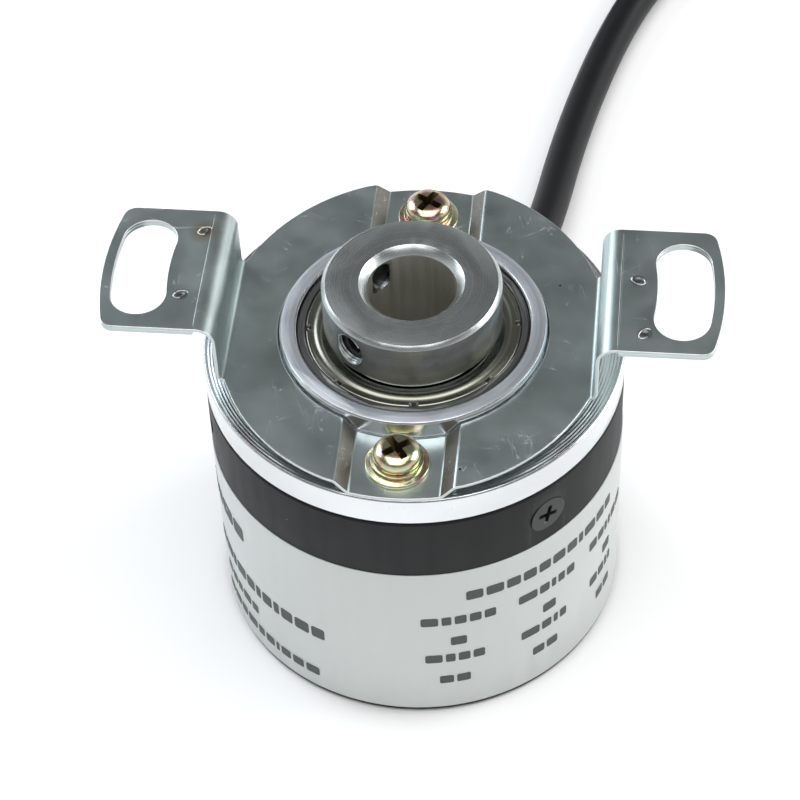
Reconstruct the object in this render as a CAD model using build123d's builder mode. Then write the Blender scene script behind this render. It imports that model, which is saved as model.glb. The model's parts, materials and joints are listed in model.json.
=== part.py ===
from build123d import *
from math import cos, pi, radians, sin, tan
import os

# Hollow-shaft rotary encoder held by a sheet-metal stator coupling.
# Millimetres. The origin is the centre of the base, +Z runs up the shaft's axis,
# and the coupling's two mounting wings point along +X and -X.

# ---------------------------------------------------------------- driving sizes
body_d = 38.0           # flange rim and cover
body_h = 31.0           # base to the flange's top face
rim_h = 3.0             # bright rim band
rim_seam = 0.2          # dark line between rim and cover
edge_break = 0.15       # small turned chamfers

# bearings: 12 x 21 x 5 thin-section, shielded
bearing_bore = 12.0
bearing_od = 21.0
bearing_w = 5.0
bearing_gap = 5.0       # between the two bearings
bearing_proud = 1.8     # front bearing above the flange's face
ball_d = 2.38
ball_count = 12
race_land = 1.0         # race land's distance from the ball circle
race_play = 0.04        # ball surface to groove surface
shield_land = 0.85      # outer race's wall round a shield
shield_depth = 0.45
shield_t = 0.2
shield_gap = 0.25       # shield's inner edge to the inner race
shield_notches = 8

# flange
boss_wall = 1.5         # round the bearings
boss_proud = 2.1
web_t = 5.5             # top web of the flange
shoulder = 1.3          # step between the bearing seats
hub_drop = 0.8          # hub below the rear bearing
spigot_drop = 7.0       # spigot below the rim
spigot_wall = 4.35

# cover and label
cover_wall = 1.2
cover_floor = 1.5
cover_play = 0.05       # spigot in cover, radially
label_bottom = 0.7
label_drop = 7.0        # label's top below the cover's
label_t = 0.1
cover_screw_drop = 3.8  # below the rim
cover_screw_angles = (-47.0, 73.0, 193.0)

# shaft
bore_d = 8.0
bore_depth = 20.0
bore_chamfer = 0.7
collar_d = 16.0
collar_proud = 7.3      # collar's top above the flange's face
collar_h = 4.7
collar_chamfer = 0.35
step_lip = 0.45         # inner race's land beyond the shaft's step
stub_d = 8.0
stub_proud = 1.6        # stub below the disc's top face
shaft_play = 0.01       # sliding fits on the shaft, radially
ring_t = 0.8            # retaining ring
ring_groove = 0.4       # its groove's depth
ring_lip = 0.16         # inner race's land beyond it
set_screw_angles = (141.5, 231.5)
set_screw_d = 3.0
set_screw_len = 3.0
set_screw_drop = 2.3    # below the collar's top

# stator coupling
sheet_t = 0.3
raised_proud = 1.4      # raised parts above the flange's face
tab_half = 4.0          # low tab's half width
joggle_run = 1.2
wall_inset = 2.5        # upright walls' inner face inside the rim
wing_proud = 7.7        # wings' top above the flange's face
wing_half = 7.35
wing_margin = 0.95      # outside the slots
wing_corner = 1.2
lower_bend = 0.65       # bend radii of the sheet's middle
upper_bend = 1.55
joggle_bend = 0.5
plate_hole_play = 0.2   # round the boss
plate_flank = 0.9       # the plate's ellipse beyond the walls
plate_inset = 0.1       # plate's edge inside the rim
slot_stand = 5.0        # the slots' middle outside the body
slot_w = 4.9
slot_half_angle = 8.0
doubler_t = 0.4
doubler_inset = 1.9     # doublers start this far outside the walls
weld_spots = ((1, 1.4, 1.1), (1, 2.2, -5.2), (-1, 0.8, 4.9), (-1, 1.7, -3.1))
weld_dent_r = 1.2
weld_dent = 0.12
coupling_screw_y = 15.1

# small screws: thread radius, clearance, head radius, head height
m25 = 1.25
m2 = 1.0
thread_play = 0.05
pan_head_r = 2.1
pan_head_h = 1.3
flat_head_r = 1.85
spring_washer_r = 2.3
spring_washer_t = 0.5
flat_washer_r = 2.8
flat_washer_t = 0.4

# code disc, light and sensor
disc_r = 12.5
disc_t = 0.5
disc_drop = 3.5         # disc's top below the hub
disc_hub_r = 7.0
disc_hub_h = 2.7
disc_clamp_r = 6.0
disc_clamp_t = 0.6
track_r = 11.3
led_r = 1.5
led_lift = 0.7          # above the disc
lead_r = 0.25
lead_inset = 1.7        # leads inside the holder's block
lead_pitch = 2.54
holder_play = 0.6       # holder's block to the hub
holder_lift = 0.4       # above the disc
holder_half = 3.0
ear_half = 6.5
ear_t = 2.0
ear_screw_inset = 2.35
ear_screw_y = 4.7

# circuit board
pcb_inset = 0.55        # board's edge inside the spigot's
pcb_t = 1.6
pcb_drop = 2.4          # board below the disc
standoff_inset = 2.45
standoff_d = 3.6
standoff_angles = (40.0, 160.0, 280.0)
stud_len = 3.0
wire_d = 0.8
wire_pitch = 1.8
wire_count = 5

# cable
cable_d = 4.0
cable_angle = 77.5      # where it leaves the cover
cable_z = 5.5
jacket_reach = 2.8      # jacket's end inside the cover's wall
cable_play = 0.02
grommet_neck_r = 3.0
grommet_flange_r = 3.3
grommet_base_r = 3.8
grommet_tip_r = 2.6
grommet_len = 5.0
floor_gap = 0.05

# put-away coil
coil_x = 5.0
coil_y = 120.0
coil_inner_r = 14.0
coil_outer_r = 30.0
coil_h = 7.9
tie_w = 3.0
tie_t = 0.4
tie_angle = 205.0
lead_len = 15.0
lead_d = 0.9
tip_len = 3.0

# ---------------------------------------------------------------- derived sizes
body_r = body_d / 2
rim_bottom = body_h - rim_h
cover_top = rim_bottom - rim_seam
cover_in_r = body_r - cover_wall
spigot_r = cover_in_r - cover_play
spigot_in_r = spigot_r - spigot_wall
spigot_bottom = rim_bottom - spigot_drop
pitch_r = (bearing_bore + bearing_od) / 4
groove_r = ball_d / 2 + race_play
shield_seat_r = bearing_od / 2 - shield_land
shoulder_r = bearing_od / 2 - shoulder
boss_top = body_h + boss_proud
front_bearing_top = body_h + bearing_proud
front_bearing_bottom = front_bearing_top - bearing_w
rear_bearing_top = front_bearing_bottom - bearing_gap
rear_bearing_bottom = rear_bearing_top - bearing_w
hub_bottom = rear_bearing_bottom - hub_drop
hub_r = bearing_od / 2 + boss_wall
bearings = (("front", front_bearing_bottom), ("rear", rear_bearing_bottom))
journal_r = bearing_bore / 2 - shaft_play
ring_bottom = rear_bearing_bottom - ring_t
inner_land_r = pitch_r - race_land
step_r = inner_land_r - step_lip
collar_top = body_h + collar_proud
collar_bottom = collar_top - collar_h
set_screw_z = collar_top - set_screw_drop
label_top = cover_top - label_drop
cover_screw_z = rim_bottom - cover_screw_drop
tab_top = body_h + sheet_t
raised_top = body_h + raised_proud
wing_top = body_h + wing_proud
wall_x = body_r - wall_inset
plate_semi_x = wall_x + plate_flank
plate_semi_y = body_r + plate_inset
plate_edge_r = body_r - plate_inset
slot_r = body_r + slot_stand
wing_reach = slot_r + slot_w / 2 + wing_margin
doubler_start = wall_x + doubler_inset
disc_top = hub_bottom - disc_drop
disc_bottom = disc_top - disc_t
stub_bottom = disc_top - stub_proud
led_bottom = disc_top + led_lift
holder_bottom = disc_top + holder_lift
holder_x0 = hub_r + holder_play
lead_x = holder_x0 + lead_inset
ear_screw_x = spigot_r - ear_screw_inset
standoff_r = spigot_r - standoff_inset
pcb_r = spigot_r - pcb_inset
pcb_top = disc_bottom - pcb_drop
pcb_bottom = pcb_top - pcb_t
cable_r = cable_d / 2
cable_inner_end = cover_in_r - jacket_reach
coupling_screw_spots = [(0, coupling_screw_y), (0, -coupling_screw_y)]
out = (cos(radians(cable_angle)), sin(radians(cable_angle)))

os.makedirs("parts", exist_ok=True)


def turned(*outline):
    """A solid turned about the shaft's axis, from its (radius, height) corners."""
    with BuildPart() as piece:
        with BuildSketch(Plane.XZ):
            with BuildLine():
                Polyline(*outline, close=True)
            make_face()
        revolve(axis=Axis.Z)
    return piece.part


def washer(outer, inner, bottom, top):
    """A plain ring about the shaft's axis."""
    return turned((inner, bottom), (outer, bottom), (outer, top), (inner, top))


def radial(angle, radius, height):
    """A plane that faces outwards, at a radius and height on the body."""
    a = radians(angle)
    return Plane((radius * cos(a), radius * sin(a), height), x_dir=(-sin(a), cos(a), 0),
                 z_dir=(cos(a), sin(a), 0))


def along(distance, height):
    """A point on the cable's exit line, out from the shaft's axis."""
    return (distance * out[0], distance * out[1], height)


def cross_recess(width, arm, depth):
    """The cross that a driver fits, to cut down from Z = 0."""
    with BuildPart() as cross:
        for turn in (45, 135):
            with BuildSketch(Plane.XY):
                Rectangle(2 * width, arm, rotation=turn)
            with BuildSketch(Plane.XY.offset(-depth)):
                Rectangle(width, arm * 0.6, rotation=turn)
            loft()
    return cross.part


def pan_screw(thread_r, head_r, head_h, length):
    """A cross-recess pan-head screw that stands on Z = 0, with its thread below."""
    with BuildPart() as screw:
        with BuildSketch(Plane.XZ):
            with BuildLine():
                Polyline((0, head_h), (0, -length), (thread_r, -length), (thread_r, 0),
                         (head_r, 0), (head_r, head_h * 0.45))
                ThreePointArc((head_r, head_h * 0.45), (head_r * 0.78, head_h * 0.86), (0, head_h))
            make_face()
        revolve(axis=Axis.Z)
        with Locations((0, 0, head_h)):
            add(cross_recess(head_r * 0.72, head_r * 0.26, head_h * 0.75), mode=Mode.SUBTRACT)
    return screw.part


# ---------------------------------------------------------------- flange
flange_blank = turned(
    (shoulder_r, rear_bearing_top), (bearing_od / 2, rear_bearing_top),
    (bearing_od / 2, hub_bottom), (hub_r, hub_bottom),
    (hub_r, body_h - web_t), (spigot_in_r, body_h - web_t),
    (spigot_in_r, spigot_bottom), (spigot_r, spigot_bottom),
    (spigot_r, rim_bottom), (body_r - edge_break, rim_bottom),
    (body_r, rim_bottom + edge_break), (body_r, body_h - edge_break),
    (body_r - edge_break, body_h), (hub_r, body_h),
    (hub_r, boss_top - edge_break), (hub_r - edge_break, boss_top),
    (bearing_od / 2 + edge_break, boss_top), (bearing_od / 2, boss_top - edge_break),
    (bearing_od / 2, front_bearing_bottom), (shoulder_r, front_bearing_bottom))
coupling_hole_depth = 4.2
with BuildPart() as base_flange:
    add(flange_blank)
    with Locations(*[(x, y, body_h) for x, y in coupling_screw_spots]):
        Hole(m25, depth=coupling_hole_depth)
    for angle in cover_screw_angles:
        with Locations(radial(angle, spigot_r, cover_screw_z)):
            Hole(m2, depth=spigot_wall - 0.4)
    for angle in standoff_angles:
        a = radians(angle)
        with Locations((standoff_r * cos(a), standoff_r * sin(a), spigot_bottom)):
            Cylinder(m25, stud_len + 0.3, align=(Align.CENTER, Align.CENTER, Align.MIN), mode=Mode.SUBTRACT)
    with Locations(*[(ear_screw_x, side * ear_screw_y, spigot_bottom) for side in (1, -1)]):
        Cylinder(m2, stud_len, align=(Align.CENTER, Align.CENTER, Align.MIN), mode=Mode.SUBTRACT)
base_flange.part.label = "base_flange"
export_step(base_flange.part, "parts/base_flange.step")

# ---------------------------------------------------------------- bearings
for name, bottom in bearings:
    top = bottom + bearing_w
    middle = bottom + bearing_w / 2
    land_r = pitch_r + race_land
    with BuildPart() as outer_race:
        with BuildSketch(Plane.XZ):
            with BuildLine():
                Polyline((land_r, bottom + shield_depth), (shield_seat_r, bottom + shield_depth),
                         (shield_seat_r, bottom), (bearing_od / 2 - edge_break, bottom),
                         (bearing_od / 2, bottom + edge_break), (bearing_od / 2, top - edge_break),
                         (bearing_od / 2 - edge_break, top), (shield_seat_r, top),
                         (shield_seat_r, top - shield_depth), (land_r, top - shield_depth), close=True)
            make_face()
            with Locations((pitch_r, middle)):
                Circle(groove_r, mode=Mode.SUBTRACT)
        revolve(axis=Axis.Z)
    outer_race.part.label = f"{name}_outer_race"
    export_step(outer_race.part, f"parts/{name}_outer_race.step")

    with BuildPart() as inner_race:
        with BuildSketch(Plane.XZ):
            with BuildLine():
                Polyline((bearing_bore / 2, bottom), (inner_land_r - edge_break, bottom),
                         (inner_land_r, bottom + edge_break), (inner_land_r, top - edge_break),
                         (inner_land_r - edge_break, top), (bearing_bore / 2, top), close=True)
            make_face()
            with Locations((pitch_r, middle)):
                Circle(groove_r, mode=Mode.SUBTRACT)
        revolve(axis=Axis.Z)
    inner_race.part.label = f"{name}_inner_race"
    export_step(inner_race.part, f"parts/{name}_inner_race.step")

    shield_in_r = inner_land_r + shield_gap
    lip_r = shield_seat_r - shield_t
    with BuildPart() as bearing_shields:
        for face, inward in ((top, -1), (bottom, 1)):
            with BuildSketch(Plane.XZ):
                with BuildLine():
                    Polyline((shield_in_r, face + inward * shield_t / 2),
                             (shield_seat_r, face + inward * shield_t / 2),
                             (shield_seat_r, face + inward * shield_depth),
                             (lip_r, face + inward * shield_depth),
                             (lip_r, face + inward * shield_t * 1.5),
                             (shield_in_r, face + inward * shield_t * 1.5), close=True)
                make_face()
            revolve(axis=Axis.Z)
        with Locations((0, 0, middle)):
            with PolarLocations(shield_seat_r, shield_notches):
                Cylinder(shield_t * 1.2, bearing_w * 2, mode=Mode.SUBTRACT)
    bearing_shields.part.label = f"{name}_bearing_shields"
    export_step(bearing_shields.part, f"parts/{name}_bearing_shields.step")

    with BuildPart() as balls:
        with Locations((0, 0, middle)):
            with PolarLocations(pitch_r, ball_count):
                Sphere(ball_d / 2)
    balls.part.label = f"{name}_balls"
    export_step(balls.part, f"parts/{name}_balls.step")

    cage_half = 0.5
    cage_h = ball_d + 0.6
    with BuildPart() as cage:
        add(washer(pitch_r + cage_half, pitch_r - cage_half, middle - cage_h / 2, middle + cage_h / 2))
        for k in range(ball_count):
            with Locations(radial(k * 360 / ball_count, pitch_r, middle)):
                Cylinder(ball_d / 2 + race_play, ball_d, mode=Mode.SUBTRACT)
    cage.part.label = f"{name}_cage"
    export_step(cage.part, f"parts/{name}_cage.step")

# ---------------------------------------------------------------- shaft and what turns with it
with BuildPart() as shaft:
    add(turned(
        (0, stub_bottom), (stub_d / 2, stub_bottom), (stub_d / 2, ring_bottom - ring_t),
        (journal_r, ring_bottom - ring_t), (journal_r, ring_bottom), (journal_r - ring_groove, ring_bottom),
        (journal_r - ring_groove, rear_bearing_bottom), (journal_r, rear_bearing_bottom),
        (journal_r, front_bearing_top), (step_r, front_bearing_top), (step_r, collar_bottom),
        (collar_d / 2 - edge_break, collar_bottom), (collar_d / 2, collar_bottom + edge_break),
        (collar_d / 2, collar_top - collar_chamfer), (collar_d / 2 - collar_chamfer, collar_top),
        (bore_d / 2 + bore_chamfer, collar_top), (bore_d / 2, collar_top - bore_chamfer),
        (bore_d / 2, collar_top - bore_depth), (0, collar_top - bore_depth)))
    collar_wall = (collar_d - bore_d) / 2
    for angle in set_screw_angles:
        with Locations(radial(angle, collar_d / 2, set_screw_z)):
            CounterSinkHole(set_screw_d / 2, set_screw_d / 2 + edge_break, depth=collar_wall + edge_break)
shaft.part.label = "shaft"
export_step(shaft.part, "parts/shaft.step")

hex_across = 1.5
hex_depth = 1.2
set_screw_sink = 0.7
with BuildPart() as set_screws:
    for angle in set_screw_angles:
        mouth = radial(angle, collar_d / 2 - set_screw_sink, set_screw_z)
        with BuildSketch(mouth):
            Circle(set_screw_d / 2 - thread_play)
        extrude(amount=-set_screw_len)
        with BuildSketch(mouth):
            RegularPolygon(hex_across / 2, 6, major_radius=False)
        extrude(amount=-hex_depth, mode=Mode.SUBTRACT)
set_screws.part.label = "set_screws"
export_step(set_screws.part, "parts/set_screws.step")

spacer_lip = 0.25
with BuildPart() as inner_spacer:
    add(washer(inner_land_r - spacer_lip, bearing_bore / 2, rear_bearing_top, front_bearing_bottom))
inner_spacer.part.label = "inner_spacer"
export_step(inner_spacer.part, "parts/inner_spacer.step")

ring_gap = 3.0
with BuildPart() as retaining_ring:
    add(washer(inner_land_r - ring_lip, journal_r - ring_groove, ring_bottom, rear_bearing_bottom))
    with Locations((journal_r, 0, ring_bottom + ring_t / 2)):
        Box(2 * journal_r, ring_gap, 2 * ring_t, align=(Align.MIN, Align.CENTER, Align.CENTER), mode=Mode.SUBTRACT)
    with Locations((0.8 * journal_r, 0, ring_bottom + ring_t / 2)):
        Box(journal_r, ring_gap, 2 * ring_t, mode=Mode.SUBTRACT)
retaining_ring.part.label = "retaining_ring"
export_step(retaining_ring.part, "parts/retaining_ring.step")

hub_bore_r = stub_d / 2 + shaft_play
hub_neck_r = disc_hub_r - 1.4
hub_flange_t = 1.0
with BuildPart() as disc_hub:
    add(turned((hub_bore_r, disc_top), (disc_hub_r, disc_top), (disc_hub_r, disc_top + hub_flange_t),
               (hub_neck_r, disc_top + hub_flange_t), (hub_neck_r, disc_top + disc_hub_h),
               (hub_bore_r, disc_top + disc_hub_h)))
disc_hub.part.label = "disc_hub"
export_step(disc_hub.part, "parts/disc_hub.step")

with BuildPart() as code_disc:
    add(washer(disc_r, hub_bore_r, disc_bottom, disc_top))
code_disc.part.label = "code_disc"
export_step(code_disc.part, "parts/code_disc.step")

with BuildPart() as disc_clamp:
    add(washer(disc_clamp_r, hub_bore_r, disc_bottom - disc_clamp_t, disc_bottom))
disc_clamp.part.label = "disc_clamp"
export_step(disc_clamp.part, "parts/disc_clamp.step")

# ---------------------------------------------------------------- stator coupling
low_mid = body_h + sheet_t / 2
raised_mid = raised_top - sheet_t / 2
wing_mid = wing_top - sheet_t / 2
wall_mid = wall_x + sheet_t / 2
half_path = [(tab_half, low_mid), (tab_half + joggle_run, raised_mid), (wall_mid, raised_mid),
             (wall_mid, wing_mid), (wing_reach + sheet_t, wing_mid)]
half_bends = [joggle_bend, joggle_bend, lower_bend, upper_bend]

with BuildSketch(Plane.XY.offset(body_h)) as wing_strip:
    Circle(wing_reach)
    Rectangle(3 * wing_reach, 2 * wing_half, mode=Mode.INTERSECT)
    fillet(wing_strip.vertices(), wing_corner)

with BuildSketch(Plane.XY.offset(body_h)) as slot_pair:
    for start in (-slot_half_angle, 180 - slot_half_angle):
        SlotArc(CenterArc((0, 0), slot_r, start, 2 * slot_half_angle), slot_w)

with BuildPart() as tether_plate:
    with BuildSketch(Plane.XZ):
        with BuildLine():
            mirrored = [(-x, z) for x, z in reversed(half_path)]
            FilletPolyline(*mirrored, *half_path, radius=[*reversed(half_bends), *half_bends])
            offset(amount=sheet_t / 2, side=Side.BOTH)
        make_face()
    extrude(amount=body_d / 2, both=True)
    with BuildSketch(Plane.XY.offset(body_h)):
        Ellipse(plate_semi_x, plate_semi_y)
        Circle(plate_edge_r, mode=Mode.INTERSECT)
        add(wing_strip.sketch)
        add(slot_pair.sketch, mode=Mode.SUBTRACT)
        with Locations(*coupling_screw_spots):
            Circle(m25 + 3 * thread_play, mode=Mode.SUBTRACT)
        Circle(hub_r + plate_hole_play, mode=Mode.SUBTRACT)
    extrude(amount=wing_top - body_h, mode=Mode.INTERSECT)
    with Locations(*[(side * (doubler_start + inset), y, wing_top + weld_dent_r - weld_dent) for side, inset, y in weld_spots]):
        Sphere(weld_dent_r, mode=Mode.SUBTRACT)
tether_plate.part.label = "tether_plate"
export_step(tether_plate.part, "parts/tether_plate.step")

for name, side in (("right", 1), ("left", -1)):
    with BuildPart() as wing_doubler:
        with BuildSketch(Plane.XY.offset(wing_top - sheet_t)):
            add(wing_strip.sketch)
            with Locations((side * (doubler_start + wing_reach), 0)):
                Rectangle(2 * wing_reach, 3 * wing_half, mode=Mode.INTERSECT)
            add(slot_pair.sketch, mode=Mode.SUBTRACT)
        extrude(amount=-doubler_t)
    wing_doubler.part.label = f"wing_doubler_{name}"
    export_step(wing_doubler.part, f"parts/wing_doubler_{name}.step")

coupling_screw_len = 4.6
head_seat = tab_top + flat_washer_t + spring_washer_t
coupling_screw = pan_screw(m25 - thread_play, pan_head_r, pan_head_h, coupling_screw_len)
with BuildPart() as tether_screws:
    with Locations(*[(x, y, head_seat) for x, y in coupling_screw_spots]):
        add(coupling_screw)
tether_screws.part.label = "tether_screws"
export_step(tether_screws.part, "parts/tether_screws.step")

washer_bore_r = m25 + thread_play
with BuildPart() as spring_washers:
    with BuildSketch(Plane.XY.offset(tab_top + flat_washer_t)):
        with Locations(*coupling_screw_spots):
            Circle(spring_washer_r)
            Circle(washer_bore_r, mode=Mode.SUBTRACT)
        with Locations(*[(x + spring_washer_r / 2, y) for x, y in coupling_screw_spots]):
            Rectangle(2 * spring_washer_r, 0.3, rotation=20, mode=Mode.SUBTRACT)
    extrude(amount=spring_washer_t)
spring_washers.part.label = "spring_washers"
export_step(spring_washers.part, "parts/spring_washers.step")

with BuildPart() as flat_washers:
    with BuildSketch(Plane.XY.offset(tab_top)):
        with Locations(*coupling_screw_spots):
            Circle(flat_washer_r)
            Circle(washer_bore_r, mode=Mode.SUBTRACT)
    extrude(amount=flat_washer_t)
flat_washers.part.label = "flat_washers"
export_step(flat_washers.part, "parts/flat_washers.step")

# ---------------------------------------------------------------- cover and label
grommet_axis = radial(cable_angle, 0, cable_z)
with BuildPart() as cover:
    add(turned(
        (0, 0), (body_r - 2 * edge_break, 0), (body_r, 2 * edge_break),
        (body_r, cover_top - edge_break), (body_r - edge_break, cover_top),
        (cover_in_r, cover_top), (cover_in_r, cover_floor), (0, cover_floor)))
    with BuildSketch(grommet_axis):
        Circle(grommet_neck_r + cable_play)
    extrude(amount=2 * body_r, mode=Mode.SUBTRACT)
    for angle in cover_screw_angles:
        with Locations(radial(angle, body_r, cover_screw_z)):
            CounterSinkHole(m2 + 2 * thread_play, flat_head_r + thread_play, depth=2 * cover_wall)
cover.part.label = "cover"
export_step(cover.part, "parts/cover.step")

label_seam = 0.6
with BuildPart() as label:
    add(washer(body_r + label_t, body_r, label_bottom, label_top))
    with BuildSketch(grommet_axis):
        Circle(grommet_base_r + 4 * thread_play)
        with Locations((0, label_top / 2)):
            Rectangle(label_seam, 2 * label_top)
    extrude(amount=2 * body_r, mode=Mode.SUBTRACT)
label.part.label = "label"
export_step(label.part, "parts/label.step")

cover_screw_len = 4.0
flat_head_h = flat_head_r - m2
with BuildPart() as flat_screw:
    with BuildSketch(Plane.XZ):
        with BuildLine():
            Polyline((0, 0), (0, -cover_screw_len), (m2 - thread_play, -cover_screw_len),
                     (m2 - thread_play, -flat_head_h), (flat_head_r, 0), close=True)
        make_face()
    revolve(axis=Axis.Z)
    add(cross_recess(flat_head_r * 0.72, flat_head_r * 0.28, flat_head_h), mode=Mode.SUBTRACT)
with BuildPart() as cover_screws:
    with Locations(*[radial(angle, body_r, cover_screw_z) for angle in cover_screw_angles]):
        add(flat_screw.part)
cover_screws.part.label = "cover_screws"
export_step(cover_screws.part, "parts/cover_screws.step")

# ---------------------------------------------------------------- light and sensor
arm_inner_x = track_r - led_r - 0.5
arm_top = hub_bottom - 0.3
with BuildPart() as led_holder:
    with BuildSketch(Plane.XY.offset(spigot_bottom)):
        with Locations((holder_x0, 0)):
            Rectangle(body_r, 2 * ear_half, align=(Align.MIN, Align.CENTER))
        Circle(spigot_r, mode=Mode.INTERSECT)
        with Locations(*[(ear_screw_x, side * ear_screw_y) for side in (1, -1)]):
            Circle(m2 + thread_play, mode=Mode.SUBTRACT)
    extrude(amount=-ear_t)
    with BuildSketch(Plane.XY.offset(holder_bottom)):
        with Locations((holder_x0, 0)):
            Rectangle(body_r, 2 * holder_half, align=(Align.MIN, Align.CENTER))
        Circle(spigot_r, mode=Mode.INTERSECT)
    extrude(amount=spigot_bottom - ear_t - holder_bottom)
    with BuildSketch(Plane.XY.offset(holder_bottom)):
        with Locations((arm_inner_x, 0)):
            Rectangle(holder_x0 - arm_inner_x, 2 * holder_half, align=(Align.MIN, Align.CENTER))
    extrude(amount=arm_top - holder_bottom)
    with BuildSketch(Plane.XY.offset(holder_bottom)):
        with Locations((track_r, 0)):
            Circle(led_r + thread_play)
        with Locations((lead_x, lead_pitch / 2), (lead_x, -lead_pitch / 2)):
            Circle(lead_r + thread_play)
    extrude(amount=arm_top - holder_bottom, mode=Mode.SUBTRACT)
led_holder.part.label = "led_holder"
export_step(led_holder.part, "parts/led_holder.step")

ear_screw_len = stud_len + ear_t - 1.0
with BuildPart() as led_holder_screws:
    with Locations(*[Plane((ear_screw_x, side * ear_screw_y, spigot_bottom - ear_t), z_dir=(0, 0, -1))
                     for side in (1, -1)]):
        add(pan_screw(m2 - thread_play, 1.5, 1.0, ear_screw_len))
led_holder_screws.part.label = "led_holder_screws"
export_step(led_holder_screws.part, "parts/led_holder_screws.step")

led_h = 2.0
with BuildPart() as led:
    with BuildSketch(Plane.XY.offset(led_bottom)):
        with Locations((track_r, 0)):
            Circle(led_r)
    extrude(amount=led_h)
    fillet(led.edges().sort_by(Axis.Z)[0], led_r * 0.5)
led.part.label = "led"
export_step(led.part, "parts/led.step")

with BuildPart() as led_leads:
    with BuildSketch(Plane.XY.offset(pcb_bottom - 1.0)):
        with Locations((lead_x, lead_pitch / 2), (lead_x, -lead_pitch / 2)):
            Circle(lead_r)
    extrude(amount=arm_top - pcb_bottom)
led_leads.part.label = "led_leads"
export_step(led_leads.part, "parts/led_leads.step")

sensor_size = (5.0, 7.0, 1.4)
with BuildPart() as sensor_chip:
    with Locations((track_r, 0, pcb_top)):
        Box(*sensor_size, align=(Align.CENTER, Align.CENTER, Align.MIN))
sensor_chip.part.label = "sensor_chip"
export_step(sensor_chip.part, "parts/sensor_chip.step")

with BuildPart() as reticle:
    with Locations((track_r, 0, pcb_top + sensor_size[2])):
        Box(4.0, 6.0, 0.5, align=(Align.CENTER, Align.CENTER, Align.MIN))
reticle.part.label = "reticle"
export_step(reticle.part, "parts/reticle.step")

# ---------------------------------------------------------------- circuit board
standoff_spots = [(standoff_r * cos(radians(a)), standoff_r * sin(radians(a))) for a in standoff_angles]
with BuildPart() as main_pcb:
    with BuildSketch(Plane.XY.offset(pcb_bottom)):
        Circle(pcb_r)
        with Locations(*standoff_spots):
            Circle(m2 + 2 * thread_play, mode=Mode.SUBTRACT)
        with Locations((lead_x, lead_pitch / 2), (lead_x, -lead_pitch / 2)):
            Circle(lead_r + thread_play, mode=Mode.SUBTRACT)
    extrude(amount=pcb_t)
main_pcb.part.label = "main_pcb"
export_step(main_pcb.part, "parts/main_pcb.step")

pcb_screw_bite = 2.5
with BuildPart() as standoffs:
    with BuildSketch(Plane.XY.offset(pcb_top)):
        with Locations(*standoff_spots):
            Circle(standoff_d / 2)
    extrude(amount=spigot_bottom - pcb_top)
    with BuildSketch(Plane.XY.offset(spigot_bottom)):
        with Locations(*standoff_spots):
            Circle(m25 - thread_play)
    extrude(amount=stud_len)
    with BuildSketch(Plane.XY.offset(pcb_top)):
        with Locations(*standoff_spots):
            Circle(m2)
    extrude(amount=pcb_screw_bite + 1, mode=Mode.SUBTRACT)
standoffs.part.label = "standoffs"
export_step(standoffs.part, "parts/standoffs.step")

with BuildPart() as pcb_screws:
    with Locations(*[Plane((x, y, pcb_bottom), z_dir=(0, 0, -1)) for x, y in standoff_spots]):
        add(pan_screw(m2 - thread_play, 1.8, 1.1, pcb_t + pcb_screw_bite))
pcb_screws.part.label = "pcb_screws"
export_step(pcb_screws.part, "parts/pcb_screws.step")

with BuildPart() as driver_chips:
    with Locations((-9.5, 5.0, pcb_top), (-9.5, -5.0, pcb_top)):
        Box(4.0, 6.0, 1.0, align=(Align.CENTER, Align.CENTER, Align.MIN))
driver_chips.part.label = "driver_chips"
export_step(driver_chips.part, "parts/driver_chips.step")

with BuildPart() as capacitors:
    with Locations((-6, -6, pcb_bottom), (-2, -6, pcb_bottom), (2, -6, pcb_bottom), (6, -6, pcb_bottom)):
        Box(1.25, 2.0, 1.0, align=(Align.CENTER, Align.CENTER, Align.MAX))
capacitors.part.label = "capacitors"
export_step(capacitors.part, "parts/capacitors.step")

with BuildPart() as resistors:
    with Locations((0, 0, pcb_top)):
        with GridLocations(2.4, 20.0, 5, 2):
            Box(0.8, 1.6, 0.5, align=(Align.CENTER, Align.CENTER, Align.MIN))
resistors.part.label = "resistors"
export_step(resistors.part, "parts/resistors.step")

# the header, its plug and the wires stand in line with the cable
header_at = 6.0
header_size = (3.4, 10.4, 4.0)
plug_size = (3.0, 10.0, 3.2)
plug_face = header_at + header_size[0] / 2
with BuildPart() as pcb_header:
    with BuildSketch(Plane(along(header_at, pcb_bottom), x_dir=(*out, 0), z_dir=(0, 0, -1))):
        Rectangle(header_size[0], header_size[1])
    extrude(amount=header_size[2])
pcb_header.part.label = "pcb_header"
export_step(pcb_header.part, "parts/pcb_header.step")

with BuildPart() as wire_plug:
    with BuildSketch(Plane(along(plug_face + plug_size[0] / 2, pcb_bottom - 0.3), x_dir=(*out, 0), z_dir=(0, 0, -1))):
        Rectangle(plug_size[0], plug_size[1])
    extrude(amount=plug_size[2])
wire_plug.part.label = "wire_plug"
export_step(wire_plug.part, "parts/wire_plug.step")


def straight_wire(start, end, diameter):
    """A straight round wire between two points."""
    run = Vector(*end) - Vector(*start)
    with BuildPart() as wire:
        with BuildSketch(Plane(start, z_dir=run.normalized())):
            Circle(diameter / 2)
        extrude(amount=run.length)
    return wire.part


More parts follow.
